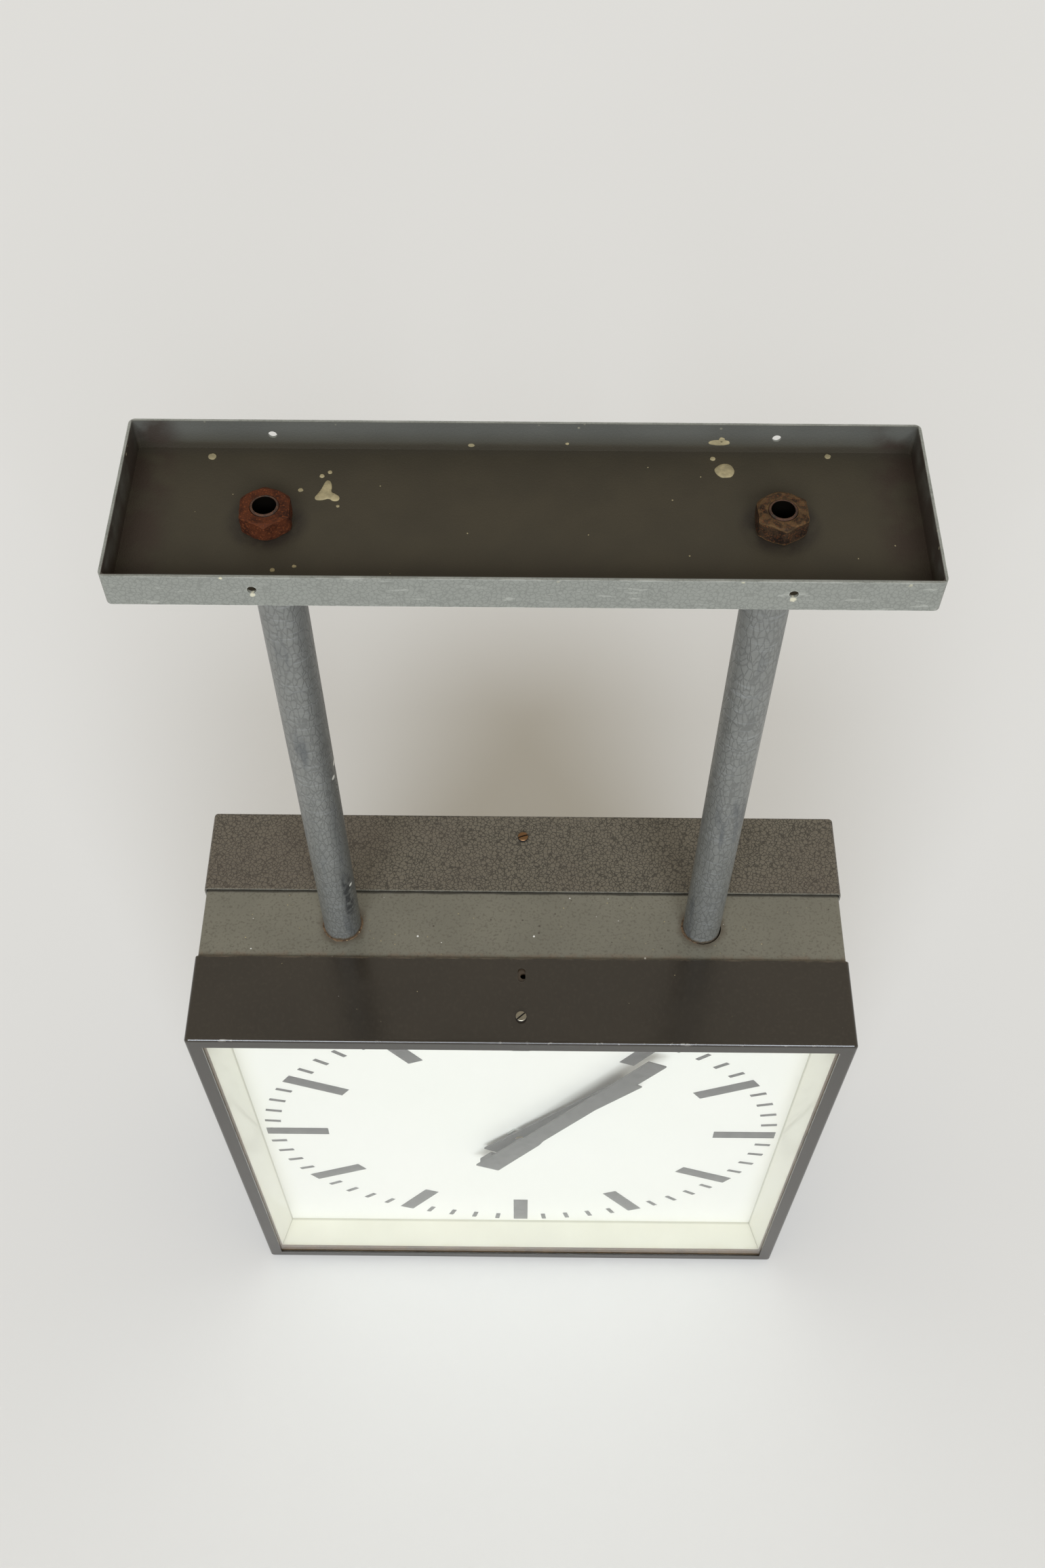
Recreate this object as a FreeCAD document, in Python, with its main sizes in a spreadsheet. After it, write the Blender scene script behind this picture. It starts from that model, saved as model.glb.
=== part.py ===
import FreeCAD, Part
import math
import os
import re

import Sketcher

# A double sided station clock that hangs from a ceiling on two tubes. Millimetres throughout.
# The origin is the centre of the canopy's rim, which lies in the ceiling plane. X runs to the
# right of the front dial, Y from the front dial to the rear dial, Z up.
#
# What belongs to one dial is drawn in that dial's own frame: its origin is the centre of the
# dial's face and its Y runs into the case. The rear one is the front one turned half way round.

Vector = FreeCAD.Vector
Rotation = FreeCAD.Rotation

SIZES = {
    # canopy, an open tray against the ceiling
    "tray_length": 366.0,
    "tray_width": 97.0,
    "tray_depth": 18.0,
    "tray_skin": 1.5,
    "tray_corner": 3.0,
    "wall_hole_spacing": 235.0,
    "wall_hole_radius": 2.1,
    "wall_hole_height": 10.0,
    # tubes, with a hollow nipple and a nut at each end
    "tube_spacing": 233.2,
    "tube_visible": 368.0,
    "tube_radius": 12.0,
    "tube_wall": 1.5,
    "nipple_radius": 6.5,
    "nipple_bore": 5.3,
    "nipple_plug": 20.0,
    "nipple_proud": 0.6,
    "nut_flats": 22.0,
    "nut_height": 10.0,
    "nut_turn": 27.0,
    # case: a body shell in the middle, a bezel slipped over it from each side
    "bezel_width": 420.0,
    "bezel_depth": 60.0,
    "bezel_skin": 1.2,
    "bezel_corner": 3.0,
    "bezel_bend": 2.0,
    "rim_width": 10.0,
    "body_gap": 50.0,
    "body_skin": 1.5,
    "slip_gap": 0.3,
    "edge_gap": 1.0,
    "tube_hole_gap": 0.8,
    "ledge_width": 18.0,
    "ledge_skin": 1.5,
    "bezel_screw_setback": 18.2,
    "spare_slot_setback": 47.9,
    "spare_slot_length": 10.0,
    "spare_slot_width": 5.0,
    "spare_hole_shift": 1.2,
    "worn_hole_length": 6.0,
    # channel under the top of the body, which the tubes stand on
    "channel_end_gap": 7.0,
    "channel_width": 50.0,
    "channel_drop": 14.0,
    "channel_skin": 2.5,
    # terminal block under the channel
    "terminal_length": 44.0,
    "terminal_width": 20.0,
    "terminal_height": 12.0,
    "terminal_pitch": 13.0,
    "terminal_well": 3.0,
    # screws
    "big_screw_radius": 2.0,
    "big_screw_length": 8.0,
    "big_head_radius": 3.5,
    "big_head_height": 2.4,
    "small_screw_radius": 1.5,
    "small_head_radius": 2.6,
    "small_head_height": 1.8,
    "screw_slot": 1.0,
    "screw_tail": 1.5,
    # dial, reveal frame, glass and its seal
    "dial_recess": 28.6,
    "dial_side_gap": 4.0,
    "dial_skin": 1.5,
    "dial_screw_inset": 5.0,
    "reveal_taper": 8.0,
    "reveal_skin": 1.0,
    "glass_skin": 3.0,
    "glass_gap": 1.3,
    "seal_depth": 4.0,
    "seal_width": 5.0,
    "mark_skin": 0.2,
    "mark_margin": 3.85,
    "bar_length": 45.6,
    "bar_width": 11.5,
    "tick_length": 11.6,
    "tick_width": 3.5,
    # hands
    "hand_skin": 1.0,
    "minute_height": 11.8,
    "minute_short": 15.15,
    "minute_tail": 48.5,
    "minute_half": 7.2,
    "minute_root_half": 8.8,
    "minute_tail_half": 9.7,
    "minute_root_end": 12.0,
    "minute_blade_start": 20.0,
    "minute_angle": 31.4,
    "hour_height": 4.6,
    "hour_short": 62.15,
    "hour_tail": 33.0,
    "hour_width": 19.0,
    "hour_angle": 37.0,
    "weight_start": 27.0,
    "weight_length": 16.0,
    "weight_width": 19.0,
    "weight_skin": 3.0,
    "collet_radius": 4.5,
    "collet_length": 4.6,
    "collet_gap": 1.0,
    # movement: two plates on four pillars
    "plate_width": 64.0,
    "plate_height": 86.0,
    "plate_drop": 11.0,
    "plate_skin": 2.0,
    "plate_space": 26.0,
    "pillar_radius": 3.0,
    "pillar_inset": 5.0,
    "bush_radius": 6.0,
    "bush_reach": 2.4,
    "dial_nut_flats": 17.0,
    "dial_nut_height": 1.6,
    "running_gap": 0.05,
    # motion work
    "pipe_radius": 4.0,
    "arbor_radius": 2.5,
    "hand_seat_radius": 2.0,
    "motion_module": 0.6,
    "cannon_teeth": 14,
    "motion_teeth": 42,
    "hour_teeth": 48,
    "motion_pinion_teeth": 12,
    "wheel_skin": 1.5,
    "wheel_gap": 0.7,
    "pinion_overhang": 0.8,
    "stud_radius": 1.5,
    "stud_head_radius": 2.2,
    "stud_head": 0.8,
    # drive
    "drive_module": 0.5,
    "minute_teeth": 60,
    "rotor_teeth": 12,
    "minute_wheel_depth": 12.5,
    "rear_arbor_radius": 2.0,
    "rear_pivot_radius": 1.5,
    "rotor_arbor_radius": 1.5,
    "rotor_pivot_radius": 1.0,
    "pivot_shoulder": 0.5,
    "magnet_radius": 10.5,
    "magnet_length": 5.0,
    "magnet_gap": 1.0,
    "air_gap": 0.8,
    "pole_height": 20.0,
    "pole_slit": 12.0,
    "leg_width": 4.0,
    "core_rise": 12.0,
    "core_height": 6.0,
    "core_length": 26.4,
    "post_radius": 1.8,
    "bobbin_radius": 4.5,
    "bobbin_flange_radius": 7.8,
    "bobbin_flange": 1.0,
    "bobbin_slack": 0.1,
    "winding_radius": 7.2,
}

# tooth proportions, as shares of the module
ADDENDUM = 0.9
DEDENDUM = 1.2
TIP_TAPER = 0.3
ROOT_TAPER = 0.15
BACKLASH = 0.05

# the heights that the pieces share, as expressions over the sizes
TRAY_FLOOR = "-tray_depth"
CASE_CENTRE = "(-tray_depth - tube_visible - bezel_width / 2)"
BODY_ROOF = "(-tray_depth - tube_visible - bezel_skin - slip_gap - body_skin)"
WEB_TOP = f"({BODY_ROOF} - channel_drop)"
WEB_FOOT = f"({WEB_TOP} - channel_skin)"
HALF_DEPTH = "(bezel_depth + body_gap / 2)"
DIAL_OFFSET = f"({HALF_DEPTH} - dial_recess)"
BODY_WIDTH = "(bezel_width - 2 * bezel_skin - 2 * slip_gap)"
BODY_INSIDE = f"({BODY_WIDTH} - 2 * body_skin)"
BODY_ROOF_INSIDE = f"({BODY_INSIDE} / 2)"
RIM_OPENING = "(bezel_width - 2 * rim_width)"
CHANNEL_LENGTH = f"({BODY_INSIDE} - 2 * channel_end_gap)"
DIAL_WIDTH = f"({BODY_INSIDE} - 2 * dial_side_gap)"
DIAL_SCREW = f"({DIAL_WIDTH} / 2 - dial_screw_inset)"
DIAL_CORNERS = [(f"{right}{DIAL_SCREW}", f"{up}{DIAL_SCREW}") for right in ("-", "") for up in ("-", "")]
DIAL_OPENING = f"({RIM_OPENING} - 2 * reveal_taper)"
MARK_RADIUS = f"({DIAL_OPENING} / 2 - mark_margin)"
MINUTE_REACH = f"({MARK_RADIUS} - minute_short)"
HOUR_REACH = f"({MARK_RADIUS} - hour_short)"

# depths in a dial's own frame
RIM_FRONT = "(-dial_recess)"
RIM_BACK = f"({RIM_FRONT} + bezel_skin)"
GLASS_BACK = f"({RIM_BACK} + glass_skin)"
SEAL_BACK = f"({GLASS_BACK} + seal_depth)"
MINUTE_BACK = "(-minute_height + hand_skin)"
HOUR_BACK = "(-hour_height + hand_skin)"
PIPE_FRONT = f"({MINUTE_BACK} + collet_length + collet_gap)"
PLATE_FRONT = "dial_skin"
PLATE_BACK = "(dial_skin + plate_skin)"
REAR_PLATE = "(dial_skin + plate_skin + plate_space)"
HOUR_WHEEL = f"({PLATE_BACK} + wheel_gap)"
MOTION_WHEEL = f"({HOUR_WHEEL} + wheel_skin + 2 * wheel_gap)"
STUD_END = f"({MOTION_WHEEL} + wheel_skin + pinion_overhang)"
CANNON_FRONT = f"({MOTION_WHEEL} - pinion_overhang / 2)"
CANNON_BACK = f"({MOTION_WHEEL} + wheel_skin + pinion_overhang)"
MINUTE_WHEEL = "(dial_skin + minute_wheel_depth)"
ROTOR_PINION = f"({MINUTE_WHEEL} - pinion_overhang)"
ROTOR_PINION_END = f"({MINUTE_WHEEL} + wheel_skin + pinion_overhang)"
MAGNET = f"({ROTOR_PINION_END} + magnet_gap)"
MAGNET_END = f"({MAGNET} + magnet_length)"
PLATE_CENTRE = "(-plate_drop)"
MOTION_AXIS = "(motion_module * (cannon_teeth + motion_teeth) / 2)"
ROTOR_AXIS = "(-drive_module * (minute_teeth + rotor_teeth) / 2)"
CORE_AXIS = f"({PLATE_CENTRE} - plate_height / 2 + core_rise)"

doc = FreeCAD.newDocument("StationClock")
sheet = doc.addObject("Spreadsheet::Sheet", "Sizes")
for row, (name, number) in enumerate(SIZES.items(), start=1):
    sheet.set(f"A{row}", name)
    sheet.set(f"B{row}", str(number))
    sheet.setAlias(f"B{row}", name)
doc.recompute()
size = {name: float(sheet.get(name)) for name in SIZES}

parts = {}


def bound(text):
    """The expression with each size's name turned into its cell."""
    return re.sub(r"[a-z_]+", lambda word: cell(word.group()), text)


def cell(word):
    return f"Sizes.{word}" if word in SIZES else word


def bind(piece, **expressions):
    for name, text in expressions.items():
        piece.setExpression(name.replace("__", "."), bound(text))


# ---- placing finished pieces ----


def keep(piece, label, y="0", z="0", rotation=Rotation()):
    """Label a finished sub-part and put its own frame in the clock's frame."""
    piece.Placement = FreeCAD.Placement(Vector(0, 0, 0), rotation)
    bind(piece, Placement__Base__y=y, Placement__Base__z=z)
    piece.Label = label
    parts[label] = piece
    return piece


def keep_on_side(piece, label, side, angle=0.0):
    """Put a piece drawn in a dial's frame on one side, turned clockwise by angle."""
    half_turn = 0 if side == "front" else 180
    sign = "-" if side == "front" else ""
    rotation = Rotation(Vector(0, 0, 1), half_turn) * Rotation(Vector(0, 1, 0), angle)
    return keep(piece, f"{label}_{side}", y=f"{sign}{DIAL_OFFSET}", z=CASE_CENTRE, rotation=rotation)


# ---- sketches and the features made from them ----


def new_body(several=False):
    body = doc.addObject("PartDesign::Body", "Body")
    body.AllowCompound = several
    return body


def origin_feature(body, role):
    return next(feature for feature in body.Origin.OriginFeatures if feature.Role == role)


def new_sketch(body, plane, height, across, up):
    sketch = body.newObject("Sketcher::SketchObject", "Sketch")
    sketch.AttachmentSupport = [(origin_feature(body, f"{plane}_Plane"), "")]
    sketch.MapMode = "FlatFace"
    for axis, text in zip("xyz", (across, up, height)):
        sketch.setExpression(f"AttachmentOffset.Base.{axis}", bound(text))
    return sketch


def dimension(sketch, text, kind, *where):
    """A driving dimension whose value follows an expression."""
    index = sketch.addConstraint(Sketcher.Constraint(kind, *where))
    sketch.setExpression(f"Constraints[{index}]", bound(text))


def circle(radius):
    def draw(sketch):
        index = sketch.addGeometry(Part.Circle(Vector(0, 0, 0), Vector(0, 0, 1), 1), False)
        sketch.addConstraint(Sketcher.Constraint("Coincident", index, 3, -1, 1))
        dimension(sketch, radius, "Radius", index, 1.0)

    return draw


def circle_pair(radius, spacing, along="X"):
    def draw(sketch):
        step = Vector(10, 0, 0) if along == "X" else Vector(0, 10, 0)
        first = sketch.addGeometry(Part.Circle(step * -1, Vector(0, 0, 1), 1), False)
        second = sketch.addGeometry(Part.Circle(step, Vector(0, 0, 1), 1), False)
        axis = -1 if along == "X" else -2
        sketch.addConstraint(Sketcher.Constraint("Symmetric", first, 3, second, 3, -1, 1))
        sketch.addConstraint(Sketcher.Constraint("PointOnObject", first, 3, axis))
        sketch.addConstraint(Sketcher.Constraint("Equal", first, second))
        dimension(sketch, spacing, f"Distance{along}", first, 3, second, 3, 20.0)
        dimension(sketch, radius, "Radius", first, 1.0)

    return draw


def rectangle(width, height):
    def draw(sketch):
        corners = [Vector(x, y, 0) for x, y in ((-9, -9), (9, -9), (9, 9), (-9, 9))]
        first = sketch.GeometryCount
        for number in range(4):
            line = Part.LineSegment(corners[number], corners[(number + 1) % 4])
            sketch.addGeometry(line, False)
        for number in range(4):
            here, following = first + number, first + (number + 1) % 4
            sketch.addConstraint(Sketcher.Constraint("Coincident", here, 2, following, 1))
            direction = "Vertical" if number % 2 else "Horizontal"
            sketch.addConstraint(Sketcher.Constraint(direction, here))
        sketch.addConstraint(Sketcher.Constraint("Symmetric", first, 1, first + 2, 1, -1, 1))
        dimension(sketch, width, "DistanceX", first, 1, first, 2, 18.0)
        dimension(sketch, height, "DistanceY", first + 1, 1, first + 1, 2, 18.0)

    return draw


def rounded_rectangle(width, height, corner):
    def draw(sketch):
        reach, bend = 50.0, 10.0
        first = sketch.GeometryCount
        signs = ((1, 1), (-1, 1), (-1, -1), (1, -1))
        for turn, (right, up) in enumerate(signs):
            middle = Vector(right * (reach - bend), up * (reach - bend), 0)
            arc = Part.Circle(middle, Vector(0, 0, 1), bend)
            start = turn * math.pi / 2
            sketch.addGeometry(Part.ArcOfCircle(arc, start, start + math.pi / 2), False)
        for turn in range(4):
            start = sketch.getPoint(first + turn, 2)
            end = sketch.getPoint(first + (turn + 1) % 4, 1)
            sketch.addGeometry(Part.LineSegment(start, end), False)
        for turn in range(4):
            arc, line, following = first + turn, first + 4 + turn, first + (turn + 1) % 4
            sketch.addConstraint(Sketcher.Constraint("Tangent", arc, 2, line, 1))
            sketch.addConstraint(Sketcher.Constraint("Tangent", line, 2, following, 1))
            direction = "Vertical" if turn % 2 else "Horizontal"
            sketch.addConstraint(Sketcher.Constraint(direction, line))
        for turn in range(3):
            sketch.addConstraint(Sketcher.Constraint("Equal", first + turn, first + turn + 1))
        sketch.addConstraint(Sketcher.Constraint("Symmetric", first, 3, first + 2, 3, -1, 1))
        dimension(sketch, corner, "Radius", first, bend)
        dimension(sketch, f"{width} - 2 * {corner}", "DistanceX", first + 1, 3, first, 3, 80.0)
        dimension(sketch, f"{height} - 2 * {corner}", "DistanceY", first + 3, 3, first, 3, 80.0)

    return draw


def obround(length, width):
    """A slot outline, its length along the sketch's vertical."""

    def draw(sketch):
        upper = Part.Circle(Vector(0, 5, 0), Vector(0, 0, 1), 2)
        lower = Part.Circle(Vector(0, -5, 0), Vector(0, 0, 1), 2)
        sketch.addGeometry(Part.ArcOfCircle(upper, 0, math.pi), False)
        sketch.addGeometry(Part.ArcOfCircle(lower, math.pi, 2 * math.pi), False)
        sketch.addGeometry(Part.LineSegment(Vector(-2, 5, 0), Vector(-2, -5, 0)), False)
        sketch.addGeometry(Part.LineSegment(Vector(2, -5, 0), Vector(2, 5, 0)), False)
        for arc, line in ((0, 2), (1, 3)):
            sketch.addConstraint(Sketcher.Constraint("Tangent", arc, 2, line, 1))
            sketch.addConstraint(Sketcher.Constraint("Tangent", line, 2, 1 - arc, 1))
            sketch.addConstraint(Sketcher.Constraint("Vertical", line))
        sketch.addConstraint(Sketcher.Constraint("Symmetric", 0, 3, 1, 3, -1, 1))
        dimension(sketch, f"{width} / 2", "Radius", 0, 2.0)
        dimension(sketch, f"{length} - {width}", "DistanceY", 1, 3, 0, 3, 10.0)

    return draw


def outline(corners):
    """A closed outline through corners given as pairs of expressions."""

    def draw(sketch):
        count = len(corners)
        spots = [Vector(math.cos(k / count * 6), math.sin(k / count * 6), 0) for k in range(count)]
        for k in range(count):
            sketch.addGeometry(Part.LineSegment(spots[k], spots[(k + 1) % count]), False)
        for k, (across, up) in enumerate(corners):
            sketch.addConstraint(Sketcher.Constraint("Coincident", k, 2, (k + 1) % count, 1))
            dimension(sketch, across, "DistanceX", -1, 1, k, 1, 1.0)
            dimension(sketch, up, "DistanceY", -1, 1, k, 1, 1.0)

    return draw


def pad(body, plane, low, high, *outlines, across="0", up="0"):
    """Add material between two planes. A sketch on XZ faces -Y, so it starts at the far plane."""
    start = f"-({high})" if plane == "XZ" else low
    sketch = new_sketch(body, plane, start, across, up)
    for draw in outlines:
        draw(sketch)
    feature = body.newObject("PartDesign::Pad", "Pad")
    feature.Profile = sketch
    bind(feature, Length=f"{high} - ({low})")
    sketch.Visibility = False
    doc.recompute()
    return feature


def pocket(body, plane, low, high, *outlines, across="0", up="0"):
    """Take material away between two planes, against the sketch's normal."""
    start = f"-({low})" if plane == "XZ" else high
    sketch = new_sketch(body, plane, start, across, up)
    for draw in outlines:
        draw(sketch)
    before = body.Shape.Volume
    feature = body.newObject("PartDesign::Pocket", "Pocket")
    feature.Profile = sketch
    bind(feature, Length=f"{high} - ({low})")
    sketch.Visibility = False
    doc.recompute()
    if body.Shape.Volume >= before:
        raise RuntimeError(f"pocket {feature.Name} takes nothing away")
    return feature


def turn_copies(body, feature, axis, count):
    """Repeat a feature round one of the body's axes."""
    pattern = body.newObject("PartDesign::PolarPattern", "Pattern")
    pattern.Originals = [feature]
    pattern.Axis = (origin_feature(body, f"{axis}_Axis"), [""])
    pattern.Angle = 360
    pattern.Occurrences = count
    body.Tip = pattern
    doc.recompute()
    return pattern


def round_edges(body, radius, choose):
    """Fillet those edges of the body that choose picks."""
    tip = body.Tip
    names = [f"Edge{n}" for n, edge in enumerate(tip.Shape.Edges, start=1) if choose(edge)]
    fillet = body.newObject("PartDesign::Fillet", "Fillet")
    fillet.Base = (tip, names)
    bind(fillet, Radius=radius)
    doc.recompute()
    return fillet


# ---- primitives, and what is made by joining and cutting them ----


def rod(radius, low, high, across="0", up="0"):
    """A cylinder along a dial frame's Y, from one depth to another."""
    piece = doc.addObject("Part::Cylinder", "Rod")
    piece.Placement = FreeCAD.Placement(Vector(0, 0, 0), Rotation(Vector(1, 0, 0), -90))
    bind(piece, Radius=radius, Height=f"{high} - ({low})")
    bind(piece, Placement__Base__x=across, Placement__Base__y=low, Placement__Base__z=up)
    return piece


def upright(radius, low, high, across="0", along="0"):
    """A cylinder along Z, from one height to another."""
    piece = doc.addObject("Part::Cylinder", "Upright")
    bind(piece, Radius=radius, Height=f"{high} - ({low})")
    bind(piece, Placement__Base__x=across, Placement__Base__y=along, Placement__Base__z=low)
    return piece


def level(radius, low, high, depth, up):
    """A cylinder along X, from one place across to another."""
    piece = doc.addObject("Part::Cylinder", "Level")
    piece.Placement = FreeCAD.Placement(Vector(0, 0, 0), Rotation(Vector(0, 1, 0), 90))
    bind(piece, Radius=radius, Height=f"{high} - ({low})")
    bind(piece, Placement__Base__x=low, Placement__Base__y=depth, Placement__Base__z=up)
    return piece


def block(across, depth, up):
    """A box between pairs of expressions for each direction."""
    piece = doc.addObject("Part::Box", "Block")
    for side, name, (low, high) in zip("xyz", ("Length", "Width", "Height"), (across, depth, up)):
        piece.setExpression(name, bound(f"{high} - ({low})"))
        piece.setExpression(f"Placement.Base.{side}", bound(low))
    return piece


def hexagon(flats, height, rotation=Rotation()):
    """A hexagonal prism on its own Z."""
    piece = doc.addObject("Part::Prism", "Hexagon")
    piece.Polygon = 6
    bind(piece, Circumradius=f"{flats} / 2 / cos(30)", Height=height)
    piece.Placement = FreeCAD.Placement(Vector(0, 0, 0), rotation)
    return piece


def frustum(front, back, low, high):
    """A square block that tapers along Y."""
    piece = doc.addObject("Part::Wedge", "Frustum")
    bind(piece, Ymin=low, Ymax=high)
    for axis in "XZ":
        for name, sign, width in (("min", "-", front), ("max", "", front)):
            piece.setExpression(f"{axis}{name}", bound(f"{sign}{width} / 2"))
        for name, sign, width in (("min", "-", back), ("max", "", back)):
            piece.setExpression(f"{axis}2{name}", bound(f"{sign}{width} / 2"))
    return piece


def fuse(*pieces):
    whole = doc.addObject("Part::MultiFuse", "Fuse")
    whole.Shapes = list(pieces)
    whole.Refine = True
    return whole


def cut(base, *tools):
    whole = doc.addObject("Part::Cut", "Cut")
    whole.Base = base
    whole.Tool = tools[0] if len(tools) == 1 else fuse(*tools)
    return whole


def group(*pieces):
    """Several separate solids in one sub-part."""
    whole = doc.addObject("Part::Compound", "Group")
    whole.Links = list(pieces)
    return whole


# ---- gears ----


def toothed_disc(module, teeth, phase):
    """The outline of a gear in the XZ plane, its first tooth pointing at phase, as a face."""
    pitch_radius = module * teeth / 2
    tip = pitch_radius + ADDENDUM * module
    root = pitch_radius - DEDENDUM * module
    half_tooth = math.pi * module / 4 * (1 - BACKLASH)
    half_tip = half_tooth - TIP_TAPER * module
    half_root = half_tooth + ROOT_TAPER * module
    tooth = ((root, -half_root), (tip, -half_tip), (tip, half_tip), (root, half_root))
    corners = []
    for number in range(teeth):
        middle = phase + number * 2 * math.pi / teeth
        for radius, half in tooth:
            angle = middle + half / radius
            corners.append(Vector(radius * math.cos(angle), 0, radius * math.sin(angle)))
    corners.append(corners[0])
    return Part.Face(Part.makePolygon(corners))


def gear(module, teeth, low, high, up="0", points="up", gap=False):
    """A gear along Y whose tooth, or gap between two teeth, points up or down."""
    count = int(round(size[teeth]))
    phase = math.pi / 2 if points == "up" else -math.pi / 2
    if gap:
        phase += math.pi / count
    disc = toothed_disc(size[module], count, phase)
    piece = doc.addObject("Part::Extrusion", "Gear")
    face = doc.addObject("Part::Feature", "Teeth")
    face.Shape = disc
    piece.Base = face
    piece.Dir = Vector(0, 1, 0)
    piece.DirMode = "Custom"
    piece.Solid = True
    bind(piece, LengthFwd=f"{high} - ({low})")
    bind(piece, Placement__Base__y=low, Placement__Base__z=up)
    return piece


# ---- canopy and tubes ----


def make_canopy():
    tray = new_body()
    pad(tray, "XY", TRAY_FLOOR, "0", rounded_rectangle("tray_length", "tray_width", "tray_corner"))
    hollow = rounded_rectangle(
        "(tray_length - 2 * tray_skin)", "(tray_width - 2 * tray_skin)", "(tray_corner - tray_skin)"
    )
    pocket(tray, "XY", f"{TRAY_FLOOR} + tray_skin", "0", hollow)
    floor_holes = circle_pair("nipple_radius + running_gap", "tube_spacing")
    pocket(tray, "XY", TRAY_FLOOR, f"{TRAY_FLOOR} + tray_skin", floor_holes)
    wall_holes = circle_pair("wall_hole_radius", "wall_hole_spacing")
    wall = "tray_width / 2"
    pocket(tray, "XZ", f"-{wall}", wall, wall_holes, up=f"{TRAY_FLOOR} + wall_hole_height")
    keep(tray, "canopy_tray")


def make_tube(side):
    across = "-tube_spacing / 2" if side == "left" else "tube_spacing / 2"
    outside = upright("tube_radius", WEB_TOP, TRAY_FLOOR, across)
    inside = upright("tube_radius - tube_wall", WEB_TOP, TRAY_FLOOR, across)
    keep(cut(outside, inside), f"suspension_tube_{side}")


def nipple(across, plug_low, plug_high, spigot_low, spigot_high):
    plug = upright("tube_radius - tube_wall", plug_low, plug_high, across)
    spigot = upright("nipple_radius", spigot_low, spigot_high, across)
    low = f"min({plug_low}; {spigot_low})"
    high = f"max({plug_high}; {spigot_high})"
    bore = upright("nipple_bore", low, high, across)
    return cut(fuse(plug, spigot), bore)


def make_nipples():
    """Each nipple is brazed into a tube's end and stands out of it through a nut."""
    sides = ("-tube_spacing / 2", "tube_spacing / 2")
    top = f"{TRAY_FLOOR} + tray_skin + nut_height + nipple_proud"
    upper = [nipple(x, f"{TRAY_FLOOR} - nipple_plug", TRAY_FLOOR, TRAY_FLOOR, top) for x in sides]
    foot = f"{WEB_FOOT} - nut_height - nipple_proud"
    lower = [nipple(x, WEB_TOP, f"{WEB_TOP} + nipple_plug", foot, WEB_TOP) for x in sides]
    keep(group(*upper), "canopy_nipples")
    keep(group(*lower), "body_nipples")


def nut_pair(low):
    nuts = []
    for sign in ("-", ""):
        across = f"{sign}tube_spacing / 2"
        prism = hexagon("nut_flats", "nut_height", Rotation(Vector(0, 0, 1), size["nut_turn"]))
        bind(prism, Placement__Base__x=across, Placement__Base__z=low)
        nuts.append(cut(prism, upright("nipple_radius", low, f"{low} + nut_height", across)))
    return group(*nuts)


def make_nuts():
    keep(nut_pair(f"{TRAY_FLOOR} + tray_skin"), "canopy_nuts")
    keep(nut_pair(f"{WEB_FOOT} - nut_height"), "hanger_nuts")


# ---- body ----


def body_ring():
    """The outline of the body's sheet as a square tube from the front dial to the rear dial."""
    ring = new_body()
    half = f"({HALF_DEPTH} - bezel_skin - glass_skin - edge_gap)"
    outside = rounded_rectangle(BODY_WIDTH, BODY_WIDTH, "(bezel_corner - bezel_skin)")
    pad(ring, "XZ", f"-{half}", half, outside, rectangle(BODY_INSIDE, BODY_INSIDE))
    return ring


def make_body_shell():
    """The body's two sides and its foot, folded from one sheet."""
    shell = body_ring()
    above = rectangle("bezel_width", "bezel_width")
    pocket(shell, "XY", BODY_ROOF_INSIDE, f"{BODY_WIDTH} / 2", above)
    keep(shell, "body_shell", z=CASE_CENTRE)


def make_body_top():
    """The plate welded on the body's sides, with the holes for tubes and bezel screws."""
    top = body_ring()
    below = rectangle("bezel_width", "bezel_width")
    pocket(top, "XY", f"-{BODY_WIDTH} / 2", BODY_ROOF_INSIDE, below)
    roof = f"{BODY_WIDTH} / 2"
    tube_holes = circle_pair("tube_radius + tube_hole_gap", "tube_spacing")
    pocket(top, "XY", BODY_ROOF_INSIDE, roof, tube_holes)
    screw_spread = f"2 * ({HALF_DEPTH} - bezel_screw_setback)"
    screw_holes = circle_pair("big_screw_radius", screw_spread, along="Y")
    pocket(top, "XY", BODY_ROOF_INSIDE, roof, screw_holes)
    spare = f"-({HALF_DEPTH} - spare_slot_setback)"
    pocket(
        top, "XY", BODY_ROOF_INSIDE, roof,
        circle("big_screw_radius"), across="spare_hole_shift", up=spare,
    )
    keep(top, "body_top", z=CASE_CENTRE)


def make_dial_ledges():
    """Two open frames welded inside the body, which the dials are screwed to."""
    outer = f"{BODY_INSIDE} / 2"
    inner = f"({outer} - ledge_width)"
    face = f"({DIAL_OFFSET} - dial_skin)"
    ledges = []
    for low, high in ((f"-{face}", f"-{face} + ledge_skin"), (f"{face} - ledge_skin", face)):
        plate = block((f"-{outer}", outer), (low, high), (f"-{outer}", outer))
        opening = block((f"-{inner}", inner), (low, high), (f"-{inner}", inner))
        holes = [rod("small_screw_radius", low, high, across, up) for across, up in DIAL_CORNERS]
        ledges.append(cut(plate, opening, *holes))
    keep(group(*ledges), "dial_ledges", z=CASE_CENTRE)


def make_hanger_channel():
    """An open-topped channel welded under the body's roof. The tubes stand on its web."""
    channel = new_body()
    web_foot = "-channel_drop - channel_skin"
    pad(channel, "XY", web_foot, "0", rectangle(CHANNEL_LENGTH, "channel_width"))
    inside = rectangle(CHANNEL_LENGTH, "(channel_width - 2 * channel_skin)")
    pocket(channel, "XY", "-channel_drop", "0", inside)
    holes = circle_pair("nipple_radius + running_gap", "tube_spacing")
    pocket(channel, "XY", web_foot, "-channel_drop", holes)
    keep(channel, "hanger_channel", z=BODY_ROOF)


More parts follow.
